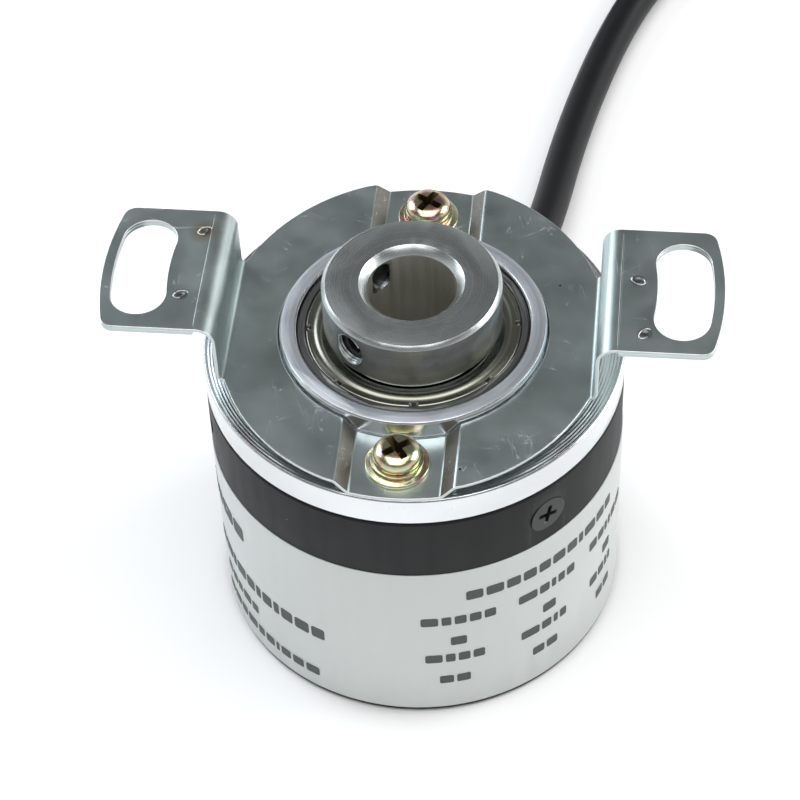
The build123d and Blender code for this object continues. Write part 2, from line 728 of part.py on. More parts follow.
side_way = (-out[1], out[0])
wire_gap = 0.15
wire_start = plug_face + plug_size[0] + wire_gap
jacket_pitch = 0.85
wire_lanes = [k - (wire_count - 1) / 2 for k in range(wire_count)]
with BuildPart() as inner_wires:
    for lane in wire_lanes:
        near = along(wire_start, pcb_bottom - 0.3 - plug_size[2] / 2)
        far = along(cable_inner_end - wire_gap, cable_z)
        add(straight_wire(
            (near[0] + lane * wire_pitch * side_way[0], near[1] + lane * wire_pitch * side_way[1], near[2]),
            (far[0] + lane * jacket_pitch * side_way[0], far[1] + lane * jacket_pitch * side_way[1], far[2]),
            wire_d))
inner_wires.part.label = "inner_wires"
export_step(inner_wires.part, "parts/inner_wires.step")

# ---------------------------------------------------------------- cable
clamp_w = 1.2
clamp_wall = 0.9
grommet_inner_end = cover_in_r - 1.2
with BuildPart() as cable_clamp:
    with BuildSketch(radial(cable_angle, grommet_inner_end, cable_z)):
        Circle(cable_r + clamp_wall)
        Circle(cable_r + cable_play, mode=Mode.SUBTRACT)
    extrude(amount=-clamp_w)
cable_clamp.part.label = "cable_clamp"
export_step(cable_clamp.part, "parts/cable_clamp.step")

with BuildPart() as cover_wall_ring:
    add(washer(body_r + label_t / 2, cover_in_r - cable_play, 0, body_h))
    with BuildSketch(grommet_axis):
        Circle(grommet_neck_r)
    extrude(amount=2 * body_r, mode=Mode.SUBTRACT)
with BuildPart() as cable_grommet:
    with BuildSketch(radial(cable_angle, grommet_inner_end, cable_z)):
        Circle(grommet_flange_r)
    extrude(amount=body_r - cover_wall / 2 - grommet_inner_end)
    with BuildSketch(radial(cable_angle, body_r - cover_wall / 2, cable_z)):
        Circle(grommet_base_r)
    extrude(amount=1.8)
    with BuildSketch(radial(cable_angle, body_r - cover_wall / 2 + 1.8, cable_z)):
        Circle(grommet_base_r)
    with BuildSketch(radial(cable_angle, body_r + grommet_len, cable_z)):
        Circle(grommet_tip_r)
    loft()
    add(cover_wall_ring.part, mode=Mode.SUBTRACT)
    with BuildSketch(grommet_axis):
        Circle(cable_r + cable_play)
    extrude(amount=2 * body_r, mode=Mode.SUBTRACT)
cable_grommet.part.label = "cable_grommet"
export_step(cable_grommet.part, "parts/cable_grommet.step")

rest_z = cable_r + floor_gap
cable_route = [
    along(cable_inner_end, cable_z), along(29.5, cable_z), along(44.0, 3.3),
    (11.1, 56.2, rest_z), (13.3, 67.3, rest_z), (16.1, 77.9, rest_z),
    (19.5, 86.6, rest_z), (23.1, 94.3, rest_z)]


def corner_radii(route):
    """The largest arcs that a cable's runs allow: one radius for each corner."""
    points = [Vector(*p) for p in route]
    radii = []
    for before, at, after in zip(points, points[1:], points[2:]):
        half_turn = radians((at - before).get_angle(after - at)) / 2
        radii.append(0.45 * min((at - before).length, (after - at).length) / tan(half_turn))
    return radii


def cable_tube(route, section_r):
    """A round tube along straight runs joined by arcs."""
    radii = corner_radii(route)
    print("arc radii", [round(r, 1) for r in radii])
    with BuildPart() as tube:
        with BuildLine():
            path = FilletPolyline(*route, radius=radii)
        with BuildSketch(Plane(path @ 0, z_dir=path % 0)):
            Circle(section_r)
        sweep()
    print("tube volume / (section x length)", round(tube.part.volume / (pi * section_r**2 * path.length), 4),
          "length", round(path.length, 1))
    return tube.part


cable = cable_tube(cable_route, cable_r)
cable.label = "cable"
export_step(cable, "parts/cable.step")

coil_shoulder = 2.0
with BuildPart() as cable_coil:
    with BuildSketch(Plane.XZ.offset(-coil_y)):
        with BuildLine():
            Polyline((coil_x + coil_inner_r, 0), (coil_x + coil_outer_r, 0),
                     (coil_x + coil_outer_r, coil_h / 2), (coil_x + coil_outer_r - coil_shoulder, coil_h),
                     (coil_x + coil_inner_r + coil_shoulder, coil_h), (coil_x + coil_inner_r, coil_h / 2), close=True)
        make_face()
    revolve(axis=Axis((coil_x, coil_y, 0), (0, 0, 1)))
cable_coil.part.label = "cable_coil"
export_step(cable_coil.part, "parts/cable_coil.step")

tie_inner = coil_inner_r - 0.2
tie_outer = coil_outer_r + 0.2
tie_mid = (tie_inner + tie_outer) / 2
a = radians(tie_angle)
tie_centre = (coil_x + tie_mid * cos(a), coil_y + tie_mid * sin(a), (coil_h + tie_t) / 2)
with BuildPart() as coil_tie:
    with BuildSketch(Plane(tie_centre, x_dir=(cos(a), sin(a), 0), z_dir=(-sin(a), cos(a), 0))):
        RectangleRounded(tie_outer - tie_inner + 2 * tie_t, coil_h + tie_t, 1.2)
        RectangleRounded(tie_outer - tie_inner, coil_h - tie_t, 1.0, mode=Mode.SUBTRACT)
    extrude(amount=tie_w / 2, both=True)
coil_tie.part.label = "coil_tie"
export_step(coil_tie.part, "parts/coil_tie.step")

# the cable's free end comes off the coil's far side and lies beside it
end_route = [(1.7, 149.5, 4.2), (-2.8, 150.8, 2.9), (-7.2, 151.6, rest_z), (-11.0, 151.9, rest_z)]
cable_end = cable_tube(end_route, cable_r)
cable_end.label = "cable_end"
export_step(cable_end, "parts/cable_end.step")

# each lead: its colour, its place in the jacket, and how far it fans out on the way to its tip
lead_fan = (
    ("green", (-0.95, 0.31), (-2.4, -3.2, -3.4)),
    ("white", (-0.59, -0.81), (-1.2, -1.5, -2.0)),
    ("yellow", (0.0, 1.0), (0.1, 0.3, 0.0)),
    ("red", (0.59, -0.81), (1.3, 1.8, 2.3)),
    ("black", (0.95, 0.31), (2.4, 3.1, 3.8)))
jacket_gap = 0.3
end_x, end_y, end_z = end_route[-1]
lead_z = lead_d / 2 + floor_gap
with BuildPart() as lead_tips:
    for colour, (root_y, root_z), (knee_y, toe_y, tip_y) in lead_fan:
        root = (end_x - jacket_gap, end_y + root_y, end_z + root_z)
        knee = (end_x - lead_len * 0.35, end_y + knee_y, lead_z)
        toe = (end_x - lead_len * 0.68, end_y + toe_y, lead_z)
        tip = (end_x - lead_len, end_y + tip_y, lead_z)
        lead = cable_tube([root, knee, toe, tip], lead_d / 2)
        lead.label = f"lead_{colour}"
        export_step(lead, f"parts/lead_{colour}.step")
        heading = (Vector(*tip) - Vector(*toe)).normalized()
        add(straight_wire(tip, tuple(Vector(*tip) + heading * tip_len), lead_d * 0.6))
lead_tips.part.label = "lead_tips"
export_step(lead_tips.part, "parts/lead_tips.step")
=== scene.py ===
# %% [markdown]
# # A hollow-shaft rotary encoder
# This file dresses a finished mechanical model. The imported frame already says
# where every part is and how it turns. Blender adds what the eye reads: turned
# aluminium, rolled sheet, plated screws, a printed label and a rubber cable.
# The frame is in metres. Sizes below are written in millimetres times MM.

# %% Load the frame
import json
import math

import bmesh
import bpy
from mathutils import Matrix, Vector

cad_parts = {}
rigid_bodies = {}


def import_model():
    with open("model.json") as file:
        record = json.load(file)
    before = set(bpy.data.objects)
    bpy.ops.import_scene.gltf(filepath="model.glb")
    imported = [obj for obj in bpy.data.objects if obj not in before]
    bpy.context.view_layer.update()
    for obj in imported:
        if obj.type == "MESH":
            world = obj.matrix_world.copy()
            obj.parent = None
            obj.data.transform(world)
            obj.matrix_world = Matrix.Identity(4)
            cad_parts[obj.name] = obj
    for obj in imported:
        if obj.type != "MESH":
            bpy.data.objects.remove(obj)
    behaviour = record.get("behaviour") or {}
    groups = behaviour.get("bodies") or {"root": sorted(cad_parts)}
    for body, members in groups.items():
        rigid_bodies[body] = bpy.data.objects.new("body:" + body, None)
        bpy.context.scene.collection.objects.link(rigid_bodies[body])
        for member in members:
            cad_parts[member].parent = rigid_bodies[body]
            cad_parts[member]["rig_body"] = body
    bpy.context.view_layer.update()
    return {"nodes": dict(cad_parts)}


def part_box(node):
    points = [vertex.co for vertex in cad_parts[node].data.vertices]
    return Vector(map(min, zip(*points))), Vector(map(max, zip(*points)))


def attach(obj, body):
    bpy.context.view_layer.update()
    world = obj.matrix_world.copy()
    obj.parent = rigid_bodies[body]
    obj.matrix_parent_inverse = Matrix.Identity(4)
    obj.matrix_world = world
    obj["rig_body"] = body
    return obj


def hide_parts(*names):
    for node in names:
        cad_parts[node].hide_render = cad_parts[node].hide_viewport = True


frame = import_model()
MM = 0.001
nodes = frame["nodes"]
body_of_node = {name: node["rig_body"] for name, node in nodes.items()}

# %% [markdown]
# The camera comes first, because the cable's put-away coil has to lie outside
# its view. A long lens from far away keeps the round parts round. The aim point
# lies on the flange's face, and a small roll tips the whole picture a little.

# %% Camera
flange_top = 31.0 * MM


def aim_camera(azimuth, elevation, roll, aim, distance, lens):
    """A camera that looks at a point from an azimuth and an elevation, in degrees."""
    a, e = math.radians(azimuth), math.radians(elevation)
    back = Vector((math.sin(a) * math.cos(e), -math.cos(a) * math.cos(e), math.sin(e)))
    made = bpy.data.objects.new("camera", bpy.data.cameras.new("camera"))
    bpy.context.scene.collection.objects.link(made)
    made.location = aim + back * distance
    made.rotation_mode = "QUATERNION"
    facing = (-back).to_track_quat("-Z", "Y").to_matrix()
    made.rotation_quaternion = (Matrix.Rotation(math.radians(roll), 3, back) @ facing).to_quaternion()
    made.data.lens = lens
    made.data.sensor_width = 36.0
    made.data.clip_start = 0.01
    made.data.clip_end = 10.0
    bpy.context.scene.camera = made
    return made


camera = aim_camera(azimuth=7.54, elevation=48.48, roll=-2.71,
                    aim=Vector((-0.53 * MM, -7.43 * MM, flange_top)),
                    distance=227.2 * MM, lens=116.1)
print("camera at", [round(v, 4) for v in camera.location])

# %% [markdown]
# The cable is a fixed length of something flexible. Its centre line is one
# NURBS spline: the points pull the line along and it never quite touches them,
# which is how a soft cable rounds its corners. It leaves the grommet, sinks to
# the table, runs off to the back, and is put away in a neat coil: four turns on
# the table, and the rest in the grooves between them. A loop works the turns out.

# %% The cable's route
cable_r = 2.0 * MM
exit_angle = math.radians(77.5)
coil_low, coil_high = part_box("cable_coil")
coil_centre = (coil_low + coil_high) / 2
coil_rings = (28.0, 24.0, 20.0, 16.0, 18.0, 22.0, 26.0)
rings_on_table = 4
table_z = 2.35 * MM
groove_z = table_z + math.sqrt(3) * cable_r
points_each_turn = 24


def on_exit_line(distance, height):
    """A point on the line that the cable leaves the cover along, in millimetres."""
    return Vector((math.cos(exit_angle) * distance, math.sin(exit_angle) * distance, height)) * MM


def coil_points(first, last):
    """The coil's centre line from one angle to another: each turn keeps its ring, then eases to the next."""
    heights = [table_z if k < rings_on_table else groove_z for k in range(len(coil_rings))]
    steps = round((last - first) / 360 * points_each_turn)
    points = []
    for k in range(steps + 1):
        turned_by = (last - first) * k / steps
        ring = int(turned_by // 360)
        following = min(ring + 1, len(coil_rings) - 1)
        ease = max(turned_by / 360 - ring - 5 / 6, 0.0) * 6
        ease = ease * ease * (3 - 2 * ease)
        radius = (coil_rings[ring] + (coil_rings[following] - coil_rings[ring]) * ease) * MM
        height = heights[ring] + (heights[following] - heights[ring]) * ease
        angle = math.radians(first + turned_by)
        points.append(Vector((coil_centre.x + radius * math.cos(angle),
                              coil_centre.y + radius * math.sin(angle), height)))
    return points


run_out = [on_exit_line(19.0, 5.5), on_exit_line(29.5, 5.5), on_exit_line(44.0, 3.3)]
run_out += [Vector(p) * MM for p in ((11.1, 56.2, 2.05), (13.3, 67.3, 2.05), (16.1, 77.9, 2.05),
                                     (19.5, 86.6, 2.15))]
run_home = [Vector(p) * MM for p in ((6.5, 147.6, 5.2), (1.0, 149.6, 3.9), (-3.0, 150.8, 2.7),
                                     (-7.2, 151.6, 2.05), (-11.0, 151.9, 2.05))]
cable_route = run_out + coil_points(-24.0, 2226.0) + run_home


def spline_tube(name, points, radius):
    """A round tube along one NURBS spline of order 3 that reaches its first and last points."""
    curve = bpy.data.curves.new(name, "CURVE")
    curve.dimensions = "3D"
    spline = curve.splines.new("NURBS")
    spline.points.add(len(points) - 1)
    for slot, point in zip(spline.points, points):
        slot.co = (*point, 1.0)
    spline.order_u = 3
    spline.use_endpoint_u = True
    spline.resolution_u = 6
    curve.bevel_depth = radius
    curve.bevel_resolution = 6
    curve.use_fill_caps = True
    tube = bpy.data.objects.new(name, curve)
    bpy.context.scene.collection.objects.link(tube)
    return tube


signal_cable = spline_tube("signal_cable", cable_route, cable_r)
print("cable route has", len(cable_route), "points")

# %% [markdown]
# Every material and every repeated shape below is a node tree, so one helper
# adds a node, sets its options and feeds its inputs. It works on shader trees
# and on Geometry Nodes trees alike. A value that comes from another node is a
# link, and anything else is a plain number on the socket.

# %% Helpers for node trees
def put(tree, kind, inputs=(), **options):
    """Add a node, set its options, and feed its inputs with numbers or with other nodes' outputs."""
    node = tree.nodes.new(kind)
    for option, value in options.items():
        setattr(node, option, value)
    for socket, value in dict(inputs).items():
        if isinstance(value, bpy.types.Node):
            value = value.outputs[0]
        if isinstance(value, bpy.types.NodeSocket):
            tree.links.new(value, node.inputs[socket])
        else:
            node.inputs[socket].default_value = value
    return node


def maths(tree, operation, first, second=0.0):
    """One sum on two numbers or sockets."""
    return put(tree, "ShaderNodeMath", {0: first, 1: second}, operation=operation).outputs[0]


def times(tree, first, second):
    """The product of two numbers or sockets."""
    return maths(tree, "MULTIPLY", first, second)


def ramp(tree, value, *stops):
    """A colour ramp with (place, colour) stops; a colour may be one grey number."""
    node = put(tree, "ShaderNodeValToRGB", {0: value})
    marks = node.color_ramp.elements
    while len(marks) < len(stops):
        marks.new(1.0)
    for mark, (place, colour) in zip(marks, stops):
        mark.position = place
        mark.color = (colour, colour, colour, 1) if isinstance(colour, float) else (*colour, 1)
    return node.outputs[0]


def object_place(tree):
    """Where a point lies on the object, in metres."""
    return put(tree, "ShaderNodeTexCoord").outputs["Object"]


def noise(tree, place, per_mm, detail, **inputs):
    """A noise texture whose pitch is given per millimetre, as a number or a socket."""
    scale = maths(tree, "DIVIDE", per_mm, MM) if isinstance(per_mm, bpy.types.NodeSocket) else per_mm / MM
    return put(tree, "ShaderNodeTexNoise", {"Vector": place, "Scale": scale, "Detail": detail, **inputs})


def effect(name, inputs, outputs):
    """An empty shader node group with named number inputs and named outputs."""
    tree = bpy.data.node_groups.new(name, "ShaderNodeTree")
    for title, value in inputs.items():
        socket = tree.interface.new_socket(title, in_out="INPUT", socket_type="NodeSocketFloat")
        socket.default_value = value
    for title in outputs:
        tree.interface.new_socket(title, in_out="OUTPUT", socket_type="NodeSocketFloat")
    return tree, tree.nodes.new("NodeGroupInput").outputs, tree.nodes.new("NodeGroupOutput")


# %% [markdown]
# Lathe marks are the first shared effect. A tool that feeds across spinning
# metal leaves rings on a face and fine bands on a wall. Both are the same
# pattern: noise that changes only with the distance from the axis and with the
# height. No light is painted: there is a height for the Bump node, and a tone
# that varies the roughness and, a little, the colour.

# %% Lathe marks
def make_lathe_marks():
    """Rings about the Z axis of the object."""
    tree, given, result = effect("lathe_marks", {"Rings per mm": 8.0, "Wander": 0.3}, ("Height", "Tone"))
    place = object_place(tree)
    x, y, z = put(tree, "ShaderNodeSeparateXYZ", {0: place}).outputs
    square = maths(tree, "ADD", maths(tree, "POWER", x, 2.0), maths(tree, "POWER", y, 2.0))
    section = put(tree, "ShaderNodeCombineXYZ", {0: maths(tree, "SQRT", square), 1: z})
    fine = noise(tree, section, given[0], 1.0, Roughness=0.6)
    broad = noise(tree, place, 0.25, 3.0)
    wander = times(tree, broad.outputs[0], given[1])
    tone = times(tree, fine.outputs[0], 0.5)
    tree.links.new(maths(tree, "ADD", fine.outputs[0], wander), result.inputs[0])
    tree.links.new(maths(tree, "ADD", tone, wander), result.inputs[1])
    return tree


lathe_marks = make_lathe_marks()

# %% [markdown]
# Handling leaves hairline scratches that lie every way and come and go. Each
# family of scratches is a noise stretched into long threads, cut to its thin
# middle contour, and kept only where a second, broad noise allows it.

# %% Hairline scratches
def make_hairlines():
    """Three families of long thin scratches; the Mask is 1 in a scratch."""
    tree, given, result = effect("hairlines", {"Per mm": 0.5, "Width": 0.01, "Amount": 0.5}, ("Mask",))
    place = object_place(tree)
    total = 0.0
    for turn, shift in ((0.35, 0.0), (1.45, 3.1), (2.5, 7.7)):
        turned = put(tree, "ShaderNodeMapping", {0: place, 1: (shift * MM, 0, 0), 2: (0, 0, turn)})
        threads = put(tree, "ShaderNodeMapping", {0: turned, 3: (0.10, 1.0, 1.0)})
        lines = noise(tree, threads, given[0], 1.5)
        off = maths(tree, "ABSOLUTE", maths(tree, "SUBTRACT", lines.outputs[0], 0.5))
        line = maths(tree, "LESS_THAN", off, given[1])
        patches = noise(tree, turned, 0.35, 1.0)
        allowed = maths(tree, "LESS_THAN", patches.outputs[0], times(tree, given[2], 0.9))
        total = maths(tree, "MAXIMUM", total, times(tree, line, allowed))
    tree.links.new(total, result.inputs[0])
    return tree


hairlines = make_hairlines()

# %% [markdown]
# Rolled or moulded surfaces are never one value. Mottle gives a soft cloud for
# tone and roughness, and a fine grain for the bump. Specks are rare small pits
# or dust grains: cells of a Voronoi pattern, of which most stay empty.

# %% Mottle and specks
def make_mottle():
    """A soft Cloud, and a Grain that may be stretched along Y as rolling does."""
    tree, given, result = effect("mottle", {"Cloud per mm": 0.2, "Grain per mm": 12.0, "Stretch": 1.0},
                                 ("Cloud", "Grain"))
    place = object_place(tree)
    squeeze = put(tree, "ShaderNodeCombineXYZ", {0: 1.0, 1: given[2], 2: 1.0})
    drawn = put(tree, "ShaderNodeVectorMath", {0: place, 1: squeeze}, operation="MULTIPLY")
    tree.links.new(noise(tree, place, given[0], 4.0).outputs[0], result.inputs[0])
    tree.links.new(noise(tree, drawn, given[1], 2.0).outputs[0], result.inputs[1])
    return tree


def make_specks():
    """Small round specks; the Mask is 1 in a speck."""
    tree, given, result = effect("specks", {"Cells per mm": 0.8, "Size": 0.12, "Share": 0.15}, ("Mask",))
    cells = put(tree, "ShaderNodeTexVoronoi",
                {"Vector": object_place(tree), "Scale": maths(tree, "DIVIDE", given[0], MM)})
    chosen = put(tree, "ShaderNodeSeparateColor", {0: cells.outputs["Color"]})
    inside = maths(tree, "LESS_THAN", cells.outputs["Distance"], given[1])
    kept = maths(tree, "LESS_THAN", chosen.outputs[0], given[2])
    tree.links.new(times(tree, inside, kept), result.inputs[0])
    return tree


mottle = make_mottle()
specks = make_specks()

# %% [markdown]
# A material starts from its plain, constant values, set straight on the
# shader's sockets. What varies is linked after that, through these helpers.

# %% Materials: helpers
def finish(name, colour, **values):
    """A material whose shader starts from plain values; underscores stand for spaces."""
    made = bpy.data.materials.new(name)
    made.use_nodes = True
    shader = made.node_tree.nodes["Principled BSDF"]
    shader.inputs["Base Color"].default_value = (*colour, 1)
    for title, value in values.items():
        shader.inputs[title.replace("_", " ")].default_value = value
    made.diffuse_color = (*colour, 1)
    return made, made.node_tree, shader


def use(tree, group, **values):
    """A copy of a shared effect with its own values; underscores stand for spaces."""
    node = put(tree, "ShaderNodeGroup", node_tree=group)
    for title, value in values.items():
        node.inputs[title.replace("_", " ")].default_value = value
    return node.outputs


def feed(shader, **values):
    """Link what varies into a shader; underscores stand for spaces."""
    for title, value in values.items():
        shader.id_data.links.new(value, shader.inputs[title.replace("_", " ")])


def between(tree, factor, first, second):
    """A colour between two colours."""
    mix = put(tree, "ShaderNodeMix", {"Factor": factor}, data_type="RGBA")
    for socket, colour in zip([s for s in mix.inputs if s.type == "RGBA"], (first, second)):
        if isinstance(colour, bpy.types.NodeSocket):
            tree.links.new(colour, socket)
        else:
            socket.default_value = (*colour, 1)
    return [s for s in mix.outputs if s.type == "RGBA"][0]


def spread(tree, value, low, high):
    """A 0 to 1 value moved to another range."""
    return put(tree, "ShaderNodeMapRange", {0: value, 3: low, 4: high}).outputs[0]


def bump(tree, shader, height, depth, previous=None):
    """Raise the surface by a height pattern, whose depth is in metres."""
    inputs = {"Height": height, "Distance": depth, "Strength": 1.0}
    if previous is not None:
        inputs["Normal"] = previous
    normal = put(tree, "ShaderNodeBump", inputs).outputs[0]
    feed(shader, Normal=normal)
    return normal


# %% [markdown]
# The flange and the shaft are turned on a lathe, and so are the bearing's
# rings. One recipe serves them all: metal, lathe marks in the bump and in the
# roughness, and a few hairlines. Only the numbers in the table differ: colour,
# polish, the pitch and depth of the tool's rings, scratches and tone.

# %% Turned metals
scratch_roughness = 0.08
scratch_depth = 0.0008 * MM


def turned_metal(name, colour, roughness, rings, depth, scratched=0.3, tone=0.12):
    """Lathe-turned metal; rings per mm and their depth in millimetres."""
    made, tree, shader = finish(name, colour, Metallic=1.0, Roughness=roughness)
    marks = use(tree, lathe_marks, Rings_per_mm=rings)
    worn = use(tree, hairlines, Per_mm=1.1, Width=0.004, Amount=scratched)
    rough = spread(tree, marks["Tone"], roughness * 0.7, roughness * 1.5)
    feed(shader, Roughness=maths(tree, "ADD", rough, times(tree, worn[0], scratch_roughness)))
    darker = tuple(c * (1 - tone) for c in colour)
    feed(shader, Base_Color=between(tree, marks["Tone"], darker, colour))
    first = bump(tree, shader, marks["Height"], depth * MM)
    bump(tree, shader, times(tree, worn[0], -1.0), scratch_depth, first)
    return made


finishes = {row[0]: turned_metal(*row) for row in (
    ("turned_aluminium", (0.80, 0.82, 0.84), 0.2, 9.0, 0.010),
    ("bright_edge", (0.9, 0.9, 0.91), 0.2, 12.0, 0.002),
    ("bearing_steel", (0.50, 0.515, 0.52), 0.16, 14.0, 0.0015, 0.3, 0.06),
    ("shaft_steel", (0.56, 0.60, 0.60), 0.27, 16.0, 0.003, 0.2),
    ("shield_steel", (0.34, 0.34, 0.29), 0.24, 6.0, 0.003, 0.25),
    ("spacer_steel", (0.6, 0.6, 0.6), 0.25, 12.0, 0.003),
    ("hub_brass", (0.78, 0.6, 0.28), 0.22, 12.0, 0.003),
    ("plated_brass", (0.7, 0.66, 0.55), 0.2, 12.0, 0.002),
    # The next row is painted shade for the screw recesses, a dark brown plating.
    ("zinc_shade", (0.12, 0.09, 0.04), 0.4, 10.0, 0.004),
    ("reamed_bore", (0.66, 0.65, 0.60), 0.42, 10.0, 0.004, 0.2),
    # The next row's bluish tint is a painted reflection; its roughness and deeper rings are the coarser cut.
    ("faced_ring", (0.80, 0.855, 0.93), 0.35, 6.0, 0.012),
    # The next row's dark colour is painted shade for the collar's side; its roughness is its own.
    ("bar_skin", (0.27, 0.275, 0.26), 0.36, 5.0, 0.003, 0.3, 0.5))}

# %% [markdown]
# The stator coupling is stamped from rolled stainless sheet. It is satin, a
# little cool in colour, with a fine grain, a soft cloudy tone, hairlines from
# handling and a few dark pits. Each spot weld on the wings scorched the sheet,
# and the first one left a brown stain too: soft round masks about the welds.

# %% Sheet steel
def fade(tree, distance, near, far, strength):
    """A mask that falls from its strength to nothing between two distances in millimetres."""
    return put(tree, "ShaderNodeMapRange",
               {0: distance, 1: near * MM, 2: far * MM, 3: strength, 4: 0.0}).outputs[0]


def sheet_steel(name, colour, roughness, welds=()):
    """Rolled stainless sheet, with scorched spots about its welds, which are places in millimetres."""
    made, tree, shader = finish(name, colour, Metallic=1.0, Roughness=roughness)
    cloud, grain = use(tree, mottle, Cloud_per_mm=0.22, Grain_per_mm=9.0, Stretch=0.35)
    worn = use(tree, hairlines, Per_mm=1.0, Width=0.004, Amount=0.46)
    pits = use(tree, specks, Cells_per_mm=0.55, Size=0.07, Share=0.1)
    tone = between(tree, cloud, tuple(c * 0.86 for c in colour), tuple(c * 1.1 for c in colour))
    tone = between(tree, times(tree, worn[0], 0.3), tone, (0.85, 0.86, 0.86))
    tone = between(tree, pits[0], tone, (0.05, 0.05, 0.05))
    for number, weld in enumerate(welds):
        off = put(tree, "ShaderNodeVectorMath", {0: object_place(tree), 1: [c * MM for c in weld]},
                  operation="DISTANCE").outputs["Value"]
        if number == 0:
            brown = fade(tree, off, near=0.7, far=1.7, strength=0.9)
            tone = between(tree, times(tree, brown, cloud), tone, (0.30, 0.19, 0.08))
        scorched = fade(tree, off, near=0.35, far=0.75, strength=0.85)
        tone = between(tree, scorched, tone, (0.10, 0.10, 0.10))
    feed(shader, Base_Color=tone)
    rough = spread(tree, cloud, roughness * 0.75, roughness * 1.35)
    feed(shader, Roughness=maths(tree, "ADD", rough, times(tree, worn[0], scratch_roughness)))
    first = bump(tree, shader, grain, 0.0025 * MM)
    bump(tree, shader, times(tree, pits[0], -1.0), 0.02 * MM, first)
    return made


wing_top = 38.7
weld_spots = [(x, y, wing_top) for x, y in ((-19.0, 4.75), (-20.0, -3.2), (19.8, 1.1), (20.6, -5.2))]
finishes |= {row[0]: sheet_steel(*row) for row in (
    # The second row's dark colour is painted shade for the coupling's slopes.
    ("coupling_steel", (0.49, 0.565, 0.565), 0.30, weld_spots), ("rubbed_steel", (0.17, 0.165, 0.15), 0.42),
    ("sheared_edge", (0.76, 0.77, 0.76), 0.34), ("cage_steel", (0.62, 0.60, 0.55), 0.3),
    ("plated_wire", (0.78, 0.78, 0.77), 0.3))}

# %% [markdown]
# The screws and washers are zinc plated and passivated. The passive film is so
# thin that it shows rainbow tints, from straw through green to rose. Slow noise
# picks the place on that rainbow, the way the film's thickness does.

# %% Yellow passivated zinc
def make_yellow_zinc():
    """Zinc with a rainbow film over a straw base."""
    made, tree, shader = finish("yellow_zinc", (0.85, 0.75, 0.48), Metallic=1.0, Roughness=0.17)
    film = use(tree, mottle, Cloud_per_mm=0.55, Grain_per_mm=7.0)
    tint = ramp(tree, film["Cloud"], (0.30, (0.46, 0.32, 0.44)), (0.40, (0.58, 0.40, 0.30)),
                (0.47, (0.66, 0.57, 0.36)), (0.54, (0.54, 0.60, 0.38)), (0.60, (0.66, 0.62, 0.48)),
                (0.68, (0.62, 0.38, 0.36)))
    feed(shader, Base_Color=tint)
    feed(shader, Roughness=spread(tree, film["Grain"], 0.12, 0.3))
    bump(tree, shader, film["Grain"], 0.006 * MM)
    return made


finishes["yellow_zinc"] = make_yellow_zinc()

# %% [markdown]
# Everything that is painted, moulded or printed shares one recipe: a body
# colour with a slight cloud in it, a fine grain in the bump, and rare dust.

# %% Painted and moulded finishes
def moulded(name, colour, roughness, grain=8.0, depth=0.01, cloudy=0.12, dust=0.04, **values):
    """A painted or moulded surface; grains per mm and their depth in millimetres."""
    made, tree, shader = finish(name, colour, Roughness=roughness, **values)
    cloud, fine = use(tree, mottle, Cloud_per_mm=0.3, Grain_per_mm=grain)
    flecks = use(tree, specks, Cells_per_mm=0.7, Size=0.05, Share=dust)
    tone = between(tree, cloud, tuple(c * (1 - cloudy) for c in colour),
                   tuple(min(c * (1 + cloudy), 1.0) for c in colour))
    feed(shader, Base_Color=between(tree, flecks[0], tone, (0.42, 0.42, 0.42)))
    feed(shader, Roughness=spread(tree, cloud, roughness * 0.85, roughness * 1.15))
    bump(tree, shader, fine, depth * MM)
    return made


for name, colour, roughness, values in (
        ("black_cover", (0.005, 0.0055, 0.006), 0.5,
         dict(grain=10.0, depth=0.006, Specular_IOR_Level=0.3)),
        # The next finish is near-black painted shade for the gap round the bearing's outer race.
        ("oiled_seam", (0.012, 0.012, 0.011), 0.35, dict(depth=0.002)),
        ("black_screw", (0.035, 0.036, 0.037), 0.30, dict(depth=0.004, Metallic=0.6)),
        ("label_film", (0.55, 0.58, 0.57), 0.36, dict(grain=14.0, depth=0.002, cloudy=0.02, dust=0.0)),
        ("label_ink", (0.04, 0.052, 0.048), 0.5, dict(depth=0.002, dust=0.0)),
        ("black_rubber", (0.02, 0.021, 0.022), 0.55, dict(grain=6.0, depth=0.02)),
        ("cable_jacket", (0.003, 0.0035, 0.0045), 0.44,
         dict(grain=5.0, depth=0.012, Specular_IOR_Level=0.25)),
        ("tie_nylon", (0.03, 0.03, 0.03), 0.38, dict(depth=0.006)),
        ("holder_plastic", (0.03, 0.03, 0.032), 0.45, {}),
        ("chip_black", (0.025, 0.025, 0.026), 0.6, dict(grain=16.0)),
        ("capacitor_tan", (0.50, 0.35, 0.20), 0.45, {}),
        ("connector_white", (0.80, 0.78, 0.72), 0.4, {}),
        ("wire_insulation", (0.16, 0.16, 0.17), 0.45, {})):
    finishes[name] = moulded(name, colour, roughness, **values)
lead_colours = {"green": (0.03, 0.25, 0.07), "white": (0.75, 0.75, 0.73), "yellow": (0.72, 0.52, 0.03),
                "red": (0.50, 0.02, 0.02), "black": (0.015, 0.015, 0.016)}
for colour, shade in lead_colours.items():
    finishes[f"lead_{colour}"] = moulded(f"lead_{colour}", shade, 0.38, depth=0.006, dust=0.0)

# %% [markdown]
# Inside sit a glass code disc with its fine radial slits, a clear lens and the
# green board. The disc's slits are a rule: dark and clear by turns with the
# angle, kept to one ring. The board shows copper tracks under its mask.

